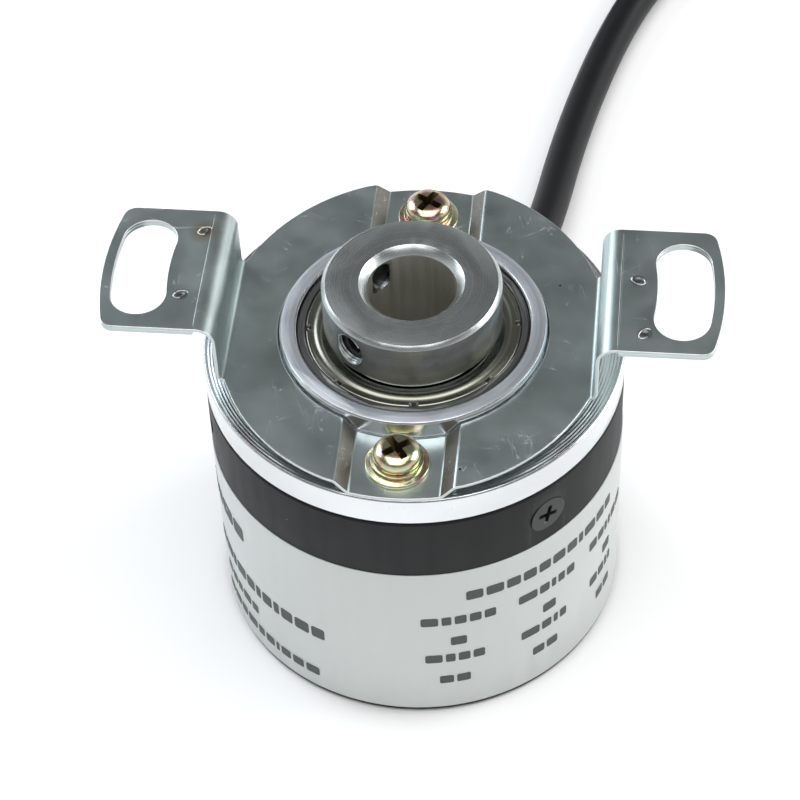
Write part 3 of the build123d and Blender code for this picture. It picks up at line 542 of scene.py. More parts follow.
# %% Inner finishes
def make_disc_glass(slits=100, inner=10.6, outer=12.2):
    """Glass with a ring of dark slits; slits per turn and ring radii in millimetres."""
    made, tree, shader = finish("disc_glass", (0.85, 0.9, 0.9), Roughness=0.03, IOR=1.5,
                                Transmission_Weight=0.9)
    x, y, _ = put(tree, "ShaderNodeSeparateXYZ", {0: object_place(tree)}).outputs
    angle = maths(tree, "ARCTAN2", y, x)
    wave = maths(tree, "SINE", times(tree, angle, float(slits)))
    flat = put(tree, "ShaderNodeCombineXYZ", {0: x, 1: y})
    radius = put(tree, "ShaderNodeVectorMath", {0: flat}, operation="LENGTH").outputs["Value"]
    ring = times(tree, maths(tree, "GREATER_THAN", radius, inner * MM),
                 maths(tree, "LESS_THAN", radius, outer * MM))
    dark = times(tree, maths(tree, "GREATER_THAN", wave, 0.0), ring)
    feed(shader, Base_Color=between(tree, dark, (0.85, 0.9, 0.9), (0.01, 0.01, 0.01)))
    return made


def make_board_green():
    """Solder mask over copper tracks, which stand a little proud."""
    made, tree, shader = finish("board_green", (0.01, 0.12, 0.04), Roughness=0.3)
    tracks = put(tree, "ShaderNodeTexBrick", {"Vector": object_place(tree), "Scale": 0.35 / MM,
                                              "Mortar Size": 0.09, "Mortar Smooth": 0.1})
    over = maths(tree, "SUBTRACT", 1.0, tracks.outputs["Fac"])
    feed(shader, Base_Color=between(tree, over, (0.03, 0.30, 0.09), (0.01, 0.13, 0.04)))
    bump(tree, shader, tracks.outputs["Fac"], 0.03 * MM)
    return made


def make_led_lens():
    """A clear lens with a faint cloud in its roughness."""
    made, tree, shader = finish("led_lens", (0.85, 0.85, 0.9), Roughness=0.08, IOR=1.5,
                                Transmission_Weight=0.9)
    cloud = use(tree, mottle, Cloud_per_mm=0.8)["Cloud"]
    feed(shader, Roughness=spread(tree, cloud, 0.03, 0.12))
    return made


finishes |= {"disc_glass": make_disc_glass(), "board_green": make_board_green(), "led_lens": make_led_lens()}
slot_of_node = {}
for name, node in nodes.items():
    slot_of_node[name] = node.data.materials[0].name.split(".")[0] if node.data.materials else "none"
print("slots in the frame:", sorted(set(slot_of_node.values())))

# %% [markdown]
# The frame's own meshes have the exact shape but razor-sharp edges, and no real
# part has those: a lathe tool, a deburring wheel or a press leaves each edge a
# little round, and that round catches the light. So a visible part is copied,
# its doubles are merged, its flat faces are joined, and a small bevel rounds
# what is sharp. The bevel may carry its own finish, such as a brighter edge.

# %% Softened copies of the frame's parts
def plain_mesh(holder):
    """What an object's modifiers give, as a mesh of its own."""
    bpy.context.view_layer.update()
    return bpy.data.meshes.new_from_object(holder.evaluated_get(bpy.context.evaluated_depsgraph_get()))


def as_mesh(work, name, outward=True):
    """Turn a working mesh into a plain one and free it; outward makes its faces look out first."""
    if outward:
        bmesh.ops.recalc_face_normals(work, faces=work.faces)
    mesh = bpy.data.meshes.new(name)
    work.to_mesh(mesh)
    work.free()
    return mesh


def refinish(mesh, title, slot, chosen):
    """Give the faces that a rule picks, by their centre, normal and area, a finish of their own."""
    mesh.materials.append(finishes[slot])
    picked = [face for face in mesh.polygons if chosen(face.center, face.normal, face.area)]
    for face in picked:
        face.material_index = len(mesh.materials) - 1
    print(title, len(picked), "faces")


def new_piece(name, mesh, body, slot, *materials, stands_for=()):
    """A finished piece in the scene, which rides on a body and may stand for CAD nodes."""
    piece = bpy.data.objects.new(name, mesh)
    bpy.context.scene.collection.objects.link(piece)
    if materials:
        mesh.materials.clear()
        for material in materials:
            mesh.materials.append(material)
    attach(piece, body)
    if stands_for:
        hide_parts(*stands_for)
    return piece


def softened(node, round_mm, edge=None, sheet=False, segments=2, sharp=30):
    """A copy of a node with rounded edges, which may have a finish of their own; bent sheet stays flat."""
    soft = bmesh.new()
    soft.from_mesh(nodes[node].data)
    bmesh.ops.remove_doubles(soft, verts=soft.verts, dist=0.001 * MM)
    bmesh.ops.dissolve_limit(soft, angle_limit=math.radians(0.3), verts=soft.verts, edges=soft.edges,
                             delimit={"NORMAL"})
    mesh = as_mesh(soft, node + "_copy", outward=False)
    mesh.shade_smooth()
    mesh.materials.clear()
    slot = slot_of_node[node]
    holder = bpy.data.objects.new(node + "_holder", mesh)
    for material in (finishes[slot], finishes[edge or slot]):
        mesh.materials.append(material)
    bpy.context.scene.collection.objects.link(holder)
    bevel = holder.modifiers.new("round", "BEVEL")
    bevel.width = round_mm * MM
    bevel.segments = segments
    bevel.limit_method = "ANGLE"
    bevel.angle_limit = math.radians(sharp)
    bevel.material = 1 if edge else 0
    bevel.harden_normals = not sheet
    if sheet:
        flat_faces_win = holder.modifiers.new("flat_faces_win", "WEIGHTED_NORMAL")
        flat_faces_win.mode = "FACE_AREA"
        flat_faces_win.weight = 100
    result = plain_mesh(holder)
    bpy.data.objects.remove(holder)
    piece = new_piece(node + "_finished", result, body_of_node[node], slot, stands_for=[node])
    print(piece.name, len(result.polygons), "faces")
    return piece


soft_pieces = {}
for node, round_mm, edge, sheet in (
        ("base_flange", 0.12, "bright_edge", False), ("shaft", 0.06, "bright_edge", False),
        # The outer race's rounded edges are painted near-black: painted shade in the gap round the race.
        ("front_outer_race", 0.16, "oiled_seam", False), ("front_inner_race", 0.08, None, False),
        ("tether_plate", 0.05, "sheared_edge", True), ("wing_doubler_left", 0.05, "sheared_edge", True),
        ("wing_doubler_right", 0.05, "sheared_edge", True), ("spring_washers", 0.10, None, False),
        ("flat_washers", 0.06, None, False), ("set_screws", 0.05, None, False),
        ("cover", 0.12, None, False), ("label", 0.02, None, False), ("cable_grommet", 0.25, None, False),
        ("coil_tie", 0.12, None, False)):
    soft_pieces[node] = softened(node, round_mm, edge, sheet)

# %% [markdown]
# The coupling's short slopes, where they step down to the two screw tabs, get a
# duller finish whose dark colour is painted shade, for the dark these slopes
# reflect. Any face that leans sideways there, below the raised part, gets it.

# %% Painted shade on the slopes
raised_top, slope_reach, smallest_slope = 32.4 * MM, 6.5 * MM, (0.5 * MM) ** 2
refinish(soft_pieces["tether_plate"].data, "painted slope shade", "rubbed_steel", lambda centre, normal, area: (
    flange_top + 0.35 * MM < centre.z < raised_top and abs(centre.x) < slope_reach
    and abs(normal.x) > 0.5 and abs(normal.z) > 0.15 and area > smallest_slope))

# %% [markdown]
# The shaft's bore was reamed and is duller than the ground outside, so its wall
# takes a finish of its own. The wall's faces are found by their distance from
# the axis.

# %% The bore's wall
bore_r = 4.05 * MM
refinish(soft_pieces["shaft"].data, "bore wall", "reamed_bore", lambda centre, normal, area: (
    math.hypot(*centre.xy) < bore_r and abs(normal.z) < 0.3))

# %% [markdown]
# The ring round the front bearing was faced with a coarser cut, so it scatters
# more light than the rest of the flange, and its bluish tint is a painted
# reflection of bluish light: the flat faces up there get that finish.

# %% The faced ring
ring_height = 32.5 * MM
refinish(soft_pieces["base_flange"].data, "faced ring", "faced_ring", lambda centre, normal, area: (
    centre.z > ring_height and normal.z > 0.95))

# %% [markdown]
# The collar's round side is duller than its faced top, and its colour is painted
# darker: painted shade for the dark this side reflects from the parts below it.
# Only upright faces at the collar's full radius take this finish.

# %% The collar's side
collar_r, collar_low = 8.0 * MM, 33.0 * MM
refinish(soft_pieces["shaft"].data, "collar side", "bar_skin", lambda centre, normal, area: (
    abs(normal.z) < 0.3 and math.hypot(*centre.xy) > collar_r - 0.1 * MM and centre.z > collar_low))

# %% [markdown]
# Shapes that repeat, or that follow a rule, are grown by Geometry Nodes. Each
# tree is built here with named inputs for its sizes, runs once on a small base
# mesh, and leaves a plain mesh behind. Helpers start a tree, sweep and turn its
# shape, set it out on every point, and run it, so that each tree below shows
# only its own idea.

# %% Geometry Nodes: helpers
SIZE, COUNT, STUFF, THING = ("NodeSocketFloat", "NodeSocketInt", "NodeSocketMaterial", "NodeSocketObject")


def recipe(name, **inputs):
    """A Geometry Nodes tree with a Geometry input and output, and named inputs of the given kinds."""
    tree = bpy.data.node_groups.new(name, "GeometryNodeTree")
    tree.interface.new_socket("Geometry", in_out="INPUT", socket_type="NodeSocketGeometry")
    tree.interface.new_socket("Geometry", in_out="OUTPUT", socket_type="NodeSocketGeometry")
    for title, kind in inputs.items():
        tree.interface.new_socket(title.replace("_", " "), in_out="INPUT", socket_type=kind)
    return tree, tree.nodes.new("NodeGroupInput").outputs


def serve(tree, geometry, material, smooth=True):
    """End a tree: real geometry, its shading, and its material."""
    real = put(tree, "GeometryNodeRealizeInstances", {0: geometry})
    shaded = put(tree, "GeometryNodeSetShadeSmooth", {0: real, "Shade Smooth": smooth})
    done = put(tree, "GeometryNodeSetMaterial", {0: shaded, "Material": material})
    tree.links.new(done.outputs[0], tree.nodes.new("NodeGroupOutput").inputs[0])


def xyz(tree, x=0.0, y=0.0, z=0.0):
    """A vector from numbers or sockets."""
    return put(tree, "ShaderNodeCombineXYZ", {0: x, 1: y, 2: z})


def moved(tree, geometry, **values):
    """A geometry with a Translation, Rotation or Scale."""
    return put(tree, "GeometryNodeTransform", {"Geometry": geometry, **values})


def swept(tree, path, profile_radius, around):
    """A round bar of so many sides along a path."""
    profile = put(tree, "GeometryNodeCurvePrimitiveCircle", {"Resolution": around, "Radius": profile_radius})
    return put(tree, "GeometryNodeCurveToMesh", {"Curve": path, "Profile Curve": profile, "Fill Caps": True})


def carried(tree, title, kind="FLOAT_VECTOR"):
    """A value that each point carries with it."""
    return put(tree, "GeometryNodeInputNamedAttribute", {"Name": title}, data_type=kind)


def faced(tree):
    """The turn that points Z along each point's facing."""
    return put(tree, "FunctionNodeAlignRotationToVector", {"Vector": carried(tree, "facing")}, axis="Z")


def twisted(tree):
    """The turn about Z by each point's twist."""
    twist = carried(tree, "twist", "FLOAT")
    return put(tree, "FunctionNodeAxisAngleToRotation", {"Axis": (0, 0, 1), "Angle": twist})


def set_out(tree, given, shape, turn, smooth=True):
    """End a tree with its shape on every point."""
    placed = put(tree, "GeometryNodeInstanceOnPoints", {"Points": given["Geometry"], "Instance": shape,
                                                        "Rotation": turn})
    serve(tree, placed, given["Material"], smooth)
    return tree


def grow(tree, places, facing=(), twist=(), span=(), **values):
    """Run a tree on loose points that may carry a facing, a twist and a span, and keep a plain mesh."""
    base = bpy.data.meshes.new(tree.name)
    base.from_pydata([tuple(p) for p in places], [], [])
    for title, kind, key, given in (("facing", "FLOAT_VECTOR", "vector", [c for f in facing for c in f]),
                                    ("twist", "FLOAT", "value", list(twist)),
                                    ("span", "FLOAT_VECTOR", "vector", [c for f in span for c in f])):
        if given:
            base.attributes.new(title, kind, "POINT").data.foreach_set(key, given)
    holder = bpy.data.objects.new(tree.name + "_holder", base)
    modifier = holder.modifiers.new("grow", "NODES")
    modifier.node_group = tree
    for item in tree.interface.items_tree:
        title = item.name.replace(" ", "_")
        if item.in_out == "INPUT" and title in values:
            modifier[item.identifier] = values[title]
    bpy.context.scene.collection.objects.link(holder)
    mesh = plain_mesh(holder)
    holder.modifiers.clear()
    bpy.data.objects.remove(holder)
    print(tree.name, "grew", len(mesh.polygons), "faces")
    return mesh


def sharpened(mesh, degrees=30):
    """Smooth shading that stops at sharp edges."""
    mesh.shade_smooth()
    mesh.set_sharp_from_angle(angle=math.radians(degrees))
    return mesh


# %% [markdown]
# The flange's face was cut by a tool that fed outwards, so it carries rings
# that are wide enough to see. They are real ridges here: a zigzag profile is
# carried round a circle by Curve to Mesh, which is how a lathe works too. The
# zigzag is a line of points of which every second one is raised.

# %% Rings on the flange's face
def rings_recipe():
    """Concentric ridges between two radii."""
    tree, given = recipe("face_rings", Inner=SIZE, Outer=SIZE, Height=SIZE, Depth=SIZE, Rings=COUNT,
                         Segments=COUNT, Material=STUFF)
    wide = maths(tree, "SUBTRACT", given["Outer"], given["Inner"])
    line = put(tree, "GeometryNodeCurvePrimitiveLine", {"End": xyz(tree, wide)})
    zigzag = put(tree, "GeometryNodeResampleCurve",
                 {"Curve": line, "Count": times(tree, given["Rings"], 2.0)})
    odd = maths(tree, "MODULO", put(tree, "GeometryNodeInputIndex"), 2.0)
    lowered = times(tree, times(tree, odd, given["Depth"]), -1.0)
    profile = put(tree, "GeometryNodeSetPosition", {"Geometry": zigzag, "Offset": xyz(tree, y=lowered)})
    circle = put(tree, "GeometryNodeCurvePrimitiveCircle", {"Resolution": given["Segments"],
                                                            "Radius": given["Inner"]})
    turned = put(tree, "GeometryNodeCurveToMesh", {"Curve": circle, "Profile Curve": profile})
    lifted = moved(tree, turned, Translation=xyz(tree, z=given["Height"]))
    serve(tree, lifted, given["Material"], smooth=False)
    return tree


ring_mesh = grow(rings_recipe(), [(0, 0, 0)], Inner=12.4 * MM, Outer=18.72 * MM,
                 Height=flange_top + 0.002 * MM, Depth=0.03 * MM, Rings=23, Segments=192,
                 Material=finishes["turned_aluminium"])
print("rings reach", round(max(v.co.z for v in ring_mesh.vertices) / MM, 3), "mm; first face looks",
      round(ring_mesh.polygons[0].normal.z, 2))
new_piece("flange_rings", ring_mesh, "housing", "turned_aluminium")

# %% [markdown]
# A screw head is a turned blank with a cross pressed into it. The blank is a
# spun profile; the tree cuts two tapered bars and a well between them from it
# with Mesh Boolean, and sets the head on each point by its facing. One tree makes the
# plated pan heads on the coupling and the black flat heads in the cover. The
# faces inside the pan heads' recesses are painted a darker, browner plating:
# painted shade where little light comes.

# %% Screw heads
def spun(name, outline, segments=64):
    """A closed turned blank about Z from (radius, height) pairs in millimetres."""
    blank = bmesh.new()
    ring = [blank.verts.new((r * MM, 0, z * MM)) for r, z in outline]
    edges = [blank.edges.new(pair) for pair in zip(ring, ring[1:])]
    bmesh.ops.spin(blank, geom=ring + edges, axis=(0, 0, 1), cent=(0, 0, 0), steps=segments,
                   angle=math.tau, use_duplicate=False)
    bmesh.ops.remove_doubles(blank, verts=blank.verts, dist=0.0005 * MM)
    return bpy.data.objects.new(name, as_mesh(blank, name))


def screw_recipe():
    """A blank with a cross recess, set on every point."""
    tree, given = recipe("cross_screws", Blank=THING, Top=SIZE, Arm=SIZE, Slot=SIZE, Depth=SIZE,
                         Material=STUFF)
    head = put(tree, "GeometryNodeObjectInfo", {0: given["Blank"]}).outputs["Geometry"]
    half = maths(tree, "DIVIDE", given["Arm"], math.sqrt(2))
    tip = times(tree, half, 0.35)
    bar = put(tree, "GeometryNodeMeshCone", {"Vertices": 4, "Radius Top": half, "Radius Bottom": tip,
                                             "Depth": given["Depth"]})
    square = moved(tree, bar, Rotation=(0, 0, math.pi / 4))
    thin = xyz(tree, 1.0, maths(tree, "DIVIDE", given["Slot"], given["Arm"]), 1.0)
    drop = xyz(tree, z=maths(tree, "SUBTRACT", given["Top"], given["Depth"]))
    cuts = [moved(tree, moved(tree, square, Scale=thin), Translation=drop, Rotation=(0, 0, quarter))
            for quarter in (0.0, math.pi / 2)]
    well = put(tree, "GeometryNodeMeshCone",
               {"Vertices": 16, "Radius Top": times(tree, given["Slot"], 0.7),
                "Radius Bottom": times(tree, given["Slot"], 0.25), "Depth": given["Depth"]})
    cuts.append(moved(tree, well, Translation=drop))
    for cut in cuts:
        head = put(tree, "GeometryNodeMeshBoolean", {"Mesh 1": head, "Mesh 2": cut}, operation="DIFFERENCE",
                   solver="EXACT")
    aim = put(tree, "FunctionNodeRotateRotation", {0: faced(tree), 1: twisted(tree)}, rotation_space="LOCAL")
    return set_out(tree, given, head, aim)


screw_tree = screw_recipe()
pan_low, pan_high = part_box("tether_screws")
pan_r = 2.1 * MM
pan_seat = pan_high.z - 1.3 * MM
dome_flat, dome_wide, dome_foot, dome_tall = 0.95, 1.15, 0.42, 0.86
pan_outline = [(0, -5.2), (1.1, -5.2), (1.25, -5.0), (1.25, -0.02), (1.95, 0.0), (2.06, 0.05), (2.1, 0.14)]
pan_outline += [(dome_flat + dome_wide * math.cos(a), dome_foot + dome_tall * math.sin(a))
                for a in (math.radians(d) for d in range(0, 90, 10))]
pan_outline += [(0.5, 1.295), (0, 1.3)]
pan_rows = (pan_low.y + pan_r, pan_high.y - pan_r)
pan_mesh = grow(screw_tree, [(0, y, pan_seat) for y in pan_rows],
                facing=[(0, 0, 1)] * 2, twist=(0.62, 1.05), Blank=spun("pan_blank", pan_outline),
                Top=1.45 * MM, Arm=3.1 * MM, Slot=0.76 * MM, Depth=1.2 * MM,
                Material=finishes["yellow_zinc"])


def in_recess(centre, normal, area, reach=1.7, under_dome=0.07):
    """Whether a face lies inside a head, below its dome, where little light comes."""
    out = min(math.hypot(centre.x, centre.y - y) for y in pan_rows) / MM
    dome = dome_foot + dome_tall * math.sqrt(max(0.0, 1 - (max(out - dome_flat, 0.0) / dome_wide) ** 2))
    return out < reach and 0.0 < (centre.z - pan_seat) / MM < dome - under_dome


# The recess faces get a dark plating that is painted shade, not a different metal.
refinish(pan_mesh, "recesses hold", "zinc_shade", in_recess)
new_piece("coupling_screws", sharpened(pan_mesh), "housing", "yellow_zinc", stands_for=["tether_screws"])

flat_outline = [(0, -4.0), (0.95, -4.0), (0.95, -0.85), (1.78, -0.06), (1.85, 0.0), (1.80, 0.03), (0, 0.05)]
cover_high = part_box("cover")[1]
cover_r = cover_high.x
screw_z = cover_high.z - 3.6 * MM
outward = [Vector((math.cos(a), math.sin(a), 0)) for a in (math.radians(d) for d in (-47, 73, 193))]
flat_mesh = grow(screw_tree, [way * cover_r + Vector((0, 0, screw_z)) for way in outward], facing=outward,
                 twist=(0.5, 0.2, 1.3), Blank=spun("flat_blank", flat_outline), Top=0.2 * MM, Arm=2.3 * MM,
                 Slot=0.5 * MM, Depth=1.1 * MM, Material=finishes["black_screw"])
new_piece("cover_flat_screws", sharpened(flat_mesh), "housing", "black_screw", stands_for=["cover_screws"])
print("cover screw height", round(screw_z / MM, 2), "cover radius", round(cover_r / MM, 2))

# %% [markdown]
# The two set-screw holes are tapped, and the first turns of the thread show in
# their mouths. A thread is a spiral, so the tree carries a small round ridge
# along the Spiral curve and sets one in each hole, facing outwards.

# %% Threads in the set-screw holes
def thread_recipe():
    """A ridge that winds along each point's facing."""
    tree, given = recipe("hole_threads", Radius=SIZE, Pitch=SIZE, Turns=SIZE, Ridge=SIZE, Material=STUFF)
    spiral = put(tree, "GeometryNodeCurveSpiral",
                 {"Resolution": 28, "Rotations": given["Turns"], "Start Radius": given["Radius"],
                  "End Radius": given["Radius"], "Height": times(tree, given["Turns"],
                                                                 given["Pitch"])})
    return set_out(tree, given, swept(tree, spiral, given["Ridge"], 6), faced(tree))


shaft_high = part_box("shaft")[1]
tapped_z, mouth_r = shaft_high.z - 2.3 * MM, 7.28
tapped = [Vector((math.cos(a), math.sin(a), 0)) for a in (math.radians(d) for d in (141.5, 231.5))]
thread_mesh = grow(thread_recipe(), [way * mouth_r * MM + Vector((0, 0, tapped_z)) for way in tapped],
                   facing=tapped, Radius=1.47 * MM, Pitch=0.28 * MM, Turns=2.0, Ridge=0.1 * MM,
                   Material=finishes["shaft_steel"])
new_piece("set_screw_threads", thread_mesh, "rotor", "shaft_steel")

# %% [markdown]
# The label's printing is shown as plain bars, one for each word, because
# nothing that could be read belongs on a generic part. The bars are laid out
# flat, in millimetres along the label and up it. The tree draws each as a
# rounded bar, wraps the sheet round the cover's radius, and gives the ink a
# hair of thickness so that it stands on the film.

# %% Printed bars on the label
def print_recipe():
    """Flat bars with a span each, wrapped round a cylinder."""
    tree, given = recipe("printed_bars", Radius=SIZE, Ink=SIZE, Material=STUFF)
    bar = put(tree, "GeometryNodeCurvePrimitiveQuadrilateral", {"Width": 1.0, "Height": 1.0})
    soft = put(tree, "GeometryNodeFilletCurve", {"Curve": bar, "Radius": 0.16, "Count": 3}, mode="POLY")
    solid = put(tree, "GeometryNodeFillCurve", {"Curve": soft}, mode="NGONS")
    bars = put(tree, "GeometryNodeInstanceOnPoints", {"Points": given["Geometry"], "Instance": solid,
                                                      "Scale": carried(tree, "span")})
    flat = put(tree, "GeometryNodeRealizeInstances", {0: bars})
    place = put(tree, "ShaderNodeSeparateXYZ", {0: put(tree, "GeometryNodeInputPosition")})
    angle = maths(tree, "DIVIDE", place.outputs[0], given["Radius"])
    wrapped = xyz(tree, times(tree, maths(tree, "SINE", angle), given["Radius"]),
                  times(tree, maths(tree, "COSINE", angle),
                        times(tree, given["Radius"], -1.0)), place.outputs[1])
    bent = put(tree, "GeometryNodeSetPosition", {"Geometry": flat, "Position": wrapped})
    thick = put(tree, "GeometryNodeExtrudeMesh", {"Mesh": bent, "Offset Scale": given["Ink"],
                                                  "Individual": False})
    serve(tree, thick, given["Material"], smooth=False)
    return tree


def printed_row(start, height, tall, words):
    """Bars of the given lengths along one row, a gap apart; each is a place and a span."""
    row = []
    for length in words:
        row.append(((start + length / 2) * MM, height * MM, length * MM, tall * MM))
        start += length + 0.3
    return row


bars = printed_row(6.1, 17.2, 1.25, (1.6, 1.7, 1.4, 1.4, 1.3, 1.5, 1.3, 0.6, 1.7, 1.4, 1.2))
for column, lengths in ((1.9, (1.6, 0.9, 1.1, 1.1, 1.1)), (11.2, (2.0, 1.1, 0.5, 0.8, 1.0)),
                        (20.2, (1.3, 1.1, 0.5, 0.5, 1.2, 1.5))):
    bars += printed_row(column, 13.9, 1.15, lengths)
    bars += printed_row(column + 2.7, 10.8, 1.2, (1.5,))
    bars += printed_row(column + 0.3, 8.3, 1.15, lengths[:4])
    bars += printed_row(column + 1.6, 5.0, 1.1, (1.3, 1.3))
bars += printed_row(-26.0, 15.8, 1.9, (2.0, 1.4, 2.4, 1.9))
bars += printed_row(-24.5, 9.3, 1.5, (1.5, 1.8, 0.7, 1.7, 1.3, 0.7, 1.3, 0.7, 1.4, 1.6, 1.4))
bars += printed_row(-23.0, 5.9, 1.15, (1.3, 1.1, 0.9, 1.4, 1.0))
bars += printed_row(-23.0, 3.0, 1.15, (1.3, 1.5, 1.1, 1.6, 0.9, 1.2, 0.4, 1.2, 1.3, 1.5))
label_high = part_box("label")[1]
print_mesh = grow(print_recipe(), [(x, y, 0) for x, y, _, _ in bars],
                  span=[(w, h, 1) for _, _, w, h in bars],
                  Radius=label_high.x + 0.012 * MM, Ink=0.02 * MM, Material=finishes["label_ink"])
new_piece("label_print", print_mesh, "housing", "label_film")
print("print reaches", round(max(v.co.z for v in print_mesh.vertices) / MM, 2), "of", label_high.z / MM)

# %% [markdown]
# On each wing a fine raised line runs beside the bend, where the press held the
# sheet. It is a slim rib with a rounded top, a few hundredths proud, and its
# ends stop short of the wing's edges.

# %% Press lines on the wings
plate_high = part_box("tether_plate")[1]


def press_line(side, out=18.35, half_length=7.2, half_width=0.08, proud=0.02, sunk=0.005, steps=24):
    """A slim rib along Y on top of one wing, in millimetres."""
    rib = bmesh.new()
    section = [(math.cos(a), math.sin(a)) for a in (math.pi * k / 6 for k in range(7))]
    rows = []
    for k in range(steps + 1):
        along = 2 * k / steps - 1
        swell = math.sqrt(max(1 - abs(along) ** 8, 0.0)) + 0.02
        rows.append([rib.verts.new((side * (out + c * half_width * swell) * MM, along * half_length * MM,
                                    plate_high.z + (s * proud * swell - sunk) * MM)) for c, s in section])
    for near, far in zip(rows, rows[1:]):
        for k in range(len(section) - 1):
            rib.faces.new((near[k], near[k + 1], far[k + 1], far[k]))
        rib.faces.new((near[-1], near[0], far[0], far[-1]))
    rib.faces.new(rows[0])
    rib.faces.new(list(reversed(rows[-1])))
    return sharpened(as_mesh(rib, "press_line"), 60)


for side, name in ((1, "right"), (-1, "left")):
    new_piece(f"press_line_{name}", press_line(side), "housing", "coupling_steel",
              finishes["coupling_steel"])

# %% [markdown]
# The wings' doublers are spot welded, and each weld pushed up an uneven rim on
# one side of its dent. The tree sweeps a short arc into a fine bead, squeezes
# it, and sets one on each weld with its own twist.

# %% Weld rims
def weld_recipe():
    """Part of a squeezed ring on every point."""
    tree, given = recipe("weld_rims", Radius=SIZE, Bead=SIZE, Squeeze=SIZE, Material=STUFF)
    arc = put(tree, "GeometryNodeCurveArc", {"Resolution": 26, "Radius": given["Radius"],
                                             "Sweep Angle": math.radians(255)})
    rim = moved(tree, swept(tree, arc, given["Bead"], 8), Scale=xyz(tree, 1.0, given["Squeeze"], 1.0))
    return set_out(tree, given, rim, twisted(tree))


weld_mesh = grow(weld_recipe(), [Vector(spot) * MM for spot in weld_spots], twist=(0.5, 0.35, 2.6, 0.9),
                 Radius=0.66 * MM, Bead=0.06 * MM, Squeeze=0.62, Material=finishes["sheared_edge"])
new_piece("weld_rims", sharpened(weld_mesh, 50), "housing", "coupling_steel")

# %% [markdown]
# The front bearing is closed by two pressed shields. Each has a rolled lip at
# the shaft, a raised bead that catches the light as a pale ring, and an outer
# edge crimped into the race with eight nicks. Spinning the section makes the
# ring, and the nicks are a rule: wherever the angle is near one, the outer edge
# is pushed down.

# %% Bearing shields
shield_low, shield_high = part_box("front_bearing_shields")
lip, seat = 7.5, 9.65
shield_section = [(lip + 0.04, -0.25), (lip, -0.12), (lip + 0.05, -0.03), (lip + 0.18, 0.0), (7.95, 0.0),
                  (8.12, 0.03), (8.28, 0.075), (8.45, 0.09), (8.62, 0.075), (8.78, 0.02), (8.9, -0.03),
                  (9.15, -0.04), (9.3, -0.01), (9.42, 0.02), (9.54, 0.02), (9.62, -0.03), (seat, -0.12),
                  (seat, -0.6), (seat - 0.2, -0.6), (seat - 0.22, -0.25), (lip + 0.04, -0.25)]


def pressed_shields(nicks=8, segments=360, half_nick=math.radians(1.7), first_nick=0.3, crimp=9.2,
                    push=0.35):
    """The bearing's two shields: one spun section, nicked, and its mirror image."""
    ring = spun("shield", shield_section, segments).data
    middle = (shield_low.z + shield_high.z) / 2
    both = bmesh.new()
    for flip in (1, -1):
        one = ring.copy()
        for vertex in one.vertices:
            x, y, z = vertex.co
            r = math.hypot(x, y)
            step = math.tau / nicks
            off = abs((math.atan2(y, x) + first_nick) % step - step / 2)
            if off < half_nick and r > crimp * MM:
                z -= push * MM
            vertex.co = (x, y, middle + flip * (shield_high.z + z - middle))
        both.from_mesh(one)
    return sharpened(as_mesh(both, "pressed_shields"), 50)


new_piece("pressed_shields", pressed_shields(), "housing", "shield_steel", finishes["shield_steel"],
          stands_for=["front_bearing_shields"])

# %% [markdown]
# At the cable's end the jacket is stripped and five coloured leads fan out on
# the table. Each is a short NURBS tube like the cable. Their tips are tinned
# strands: the tree winds seven fine wires along each tip's direction.

# %% Leads and their tips
end = cable_route[-1]
fan = {"green": ((-0.95, 0.31), (-2.4, -3.2, -3.4)), "white": ((-0.59, -0.81), (-1.2, -1.5, -2.0)),
       "yellow": ((0.0, 1.0), (0.1, 0.3, 0.0)), "red": ((0.59, -0.81), (1.3, 1.8, 2.3)),
       "black": ((0.95, 0.31), (2.4, 3.1, 3.8))}
lead_r, lead_z, lead_bends = 0.45 * MM, 0.5 * MM, (5.25, 10.2, 15.0)
tips = []
lead_pieces = []
for colour, ((root_y, root_z), sideways) in fan.items():
    route = [end + Vector((0.6, root_y * 0.9, root_z * 0.9)) * MM,
             end + Vector((-0.3, root_y, root_z)) * MM]
    route += [Vector((end.x - out * MM, end.y + aside * MM, lead_z))
              for out, aside in zip(lead_bends, sideways)]
    lead = spline_tube(f"lead_wire_{colour}", route, lead_r)
    lead.data.materials.append(finishes[f"lead_{colour}"])
    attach(lead, "housing")
    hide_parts(f"lead_{colour}")
    lead_pieces.append(lead)
    tips.append((route[-1], (route[-1] - route[-2]).normalized()))


def strands_recipe():
    """Seven fine wires, six wound round one, along each point's facing."""
    tree, given = recipe("tinned_strands", Length=SIZE, Wire=SIZE, Turns=SIZE, Material=STUFF)
    ring = times(tree, given["Wire"], 2.0)
    lay = put(tree, "GeometryNodeCurveSpiral",
              {"Resolution": 16, "Rotations": given["Turns"], "Start Radius": ring, "End Radius": ring,
               "Height": given["Length"]})
    core = put(tree, "GeometryNodeCurvePrimitiveLine", {"End": xyz(tree, z=given["Length"])})
    bundle = put(tree, "GeometryNodeJoinGeometry")
    for k in range(6):
        outer = moved(tree, lay, Rotation=(0, 0, k * math.tau / 6))
        tree.links.new(outer.outputs[0], bundle.inputs[0])
    tree.links.new(core.outputs[0], bundle.inputs[0])
    return set_out(tree, given, swept(tree, bundle, given["Wire"], 8), faced(tree))


tip_mesh = grow(strands_recipe(), [place for place, _ in tips], facing=[way for _, way in tips],
                Length=3.0 * MM, Wire=0.09 * MM, Turns=0.8, Material=finishes["plated_wire"])
tip_piece = new_piece("tinned_tips", sharpened(tip_mesh, 50), "housing", "plated_wire",
                      stands_for=["lead_tips"])

# %% [markdown]
# A nylon tie holds the coil. Its strap is the softened frame part, and its
# teeth are small ribs that the tree sets along the strap's top, where the
# ratchet would grip them. A square head with rounded edges closes it.

# %% Teeth and head of the tie
tie_low, tie_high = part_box("coil_tie")
tie_middle = (tie_low + tie_high) / 2
tie_angle = math.radians(205)
tie_out = Vector((math.cos(tie_angle), math.sin(tie_angle), 0))


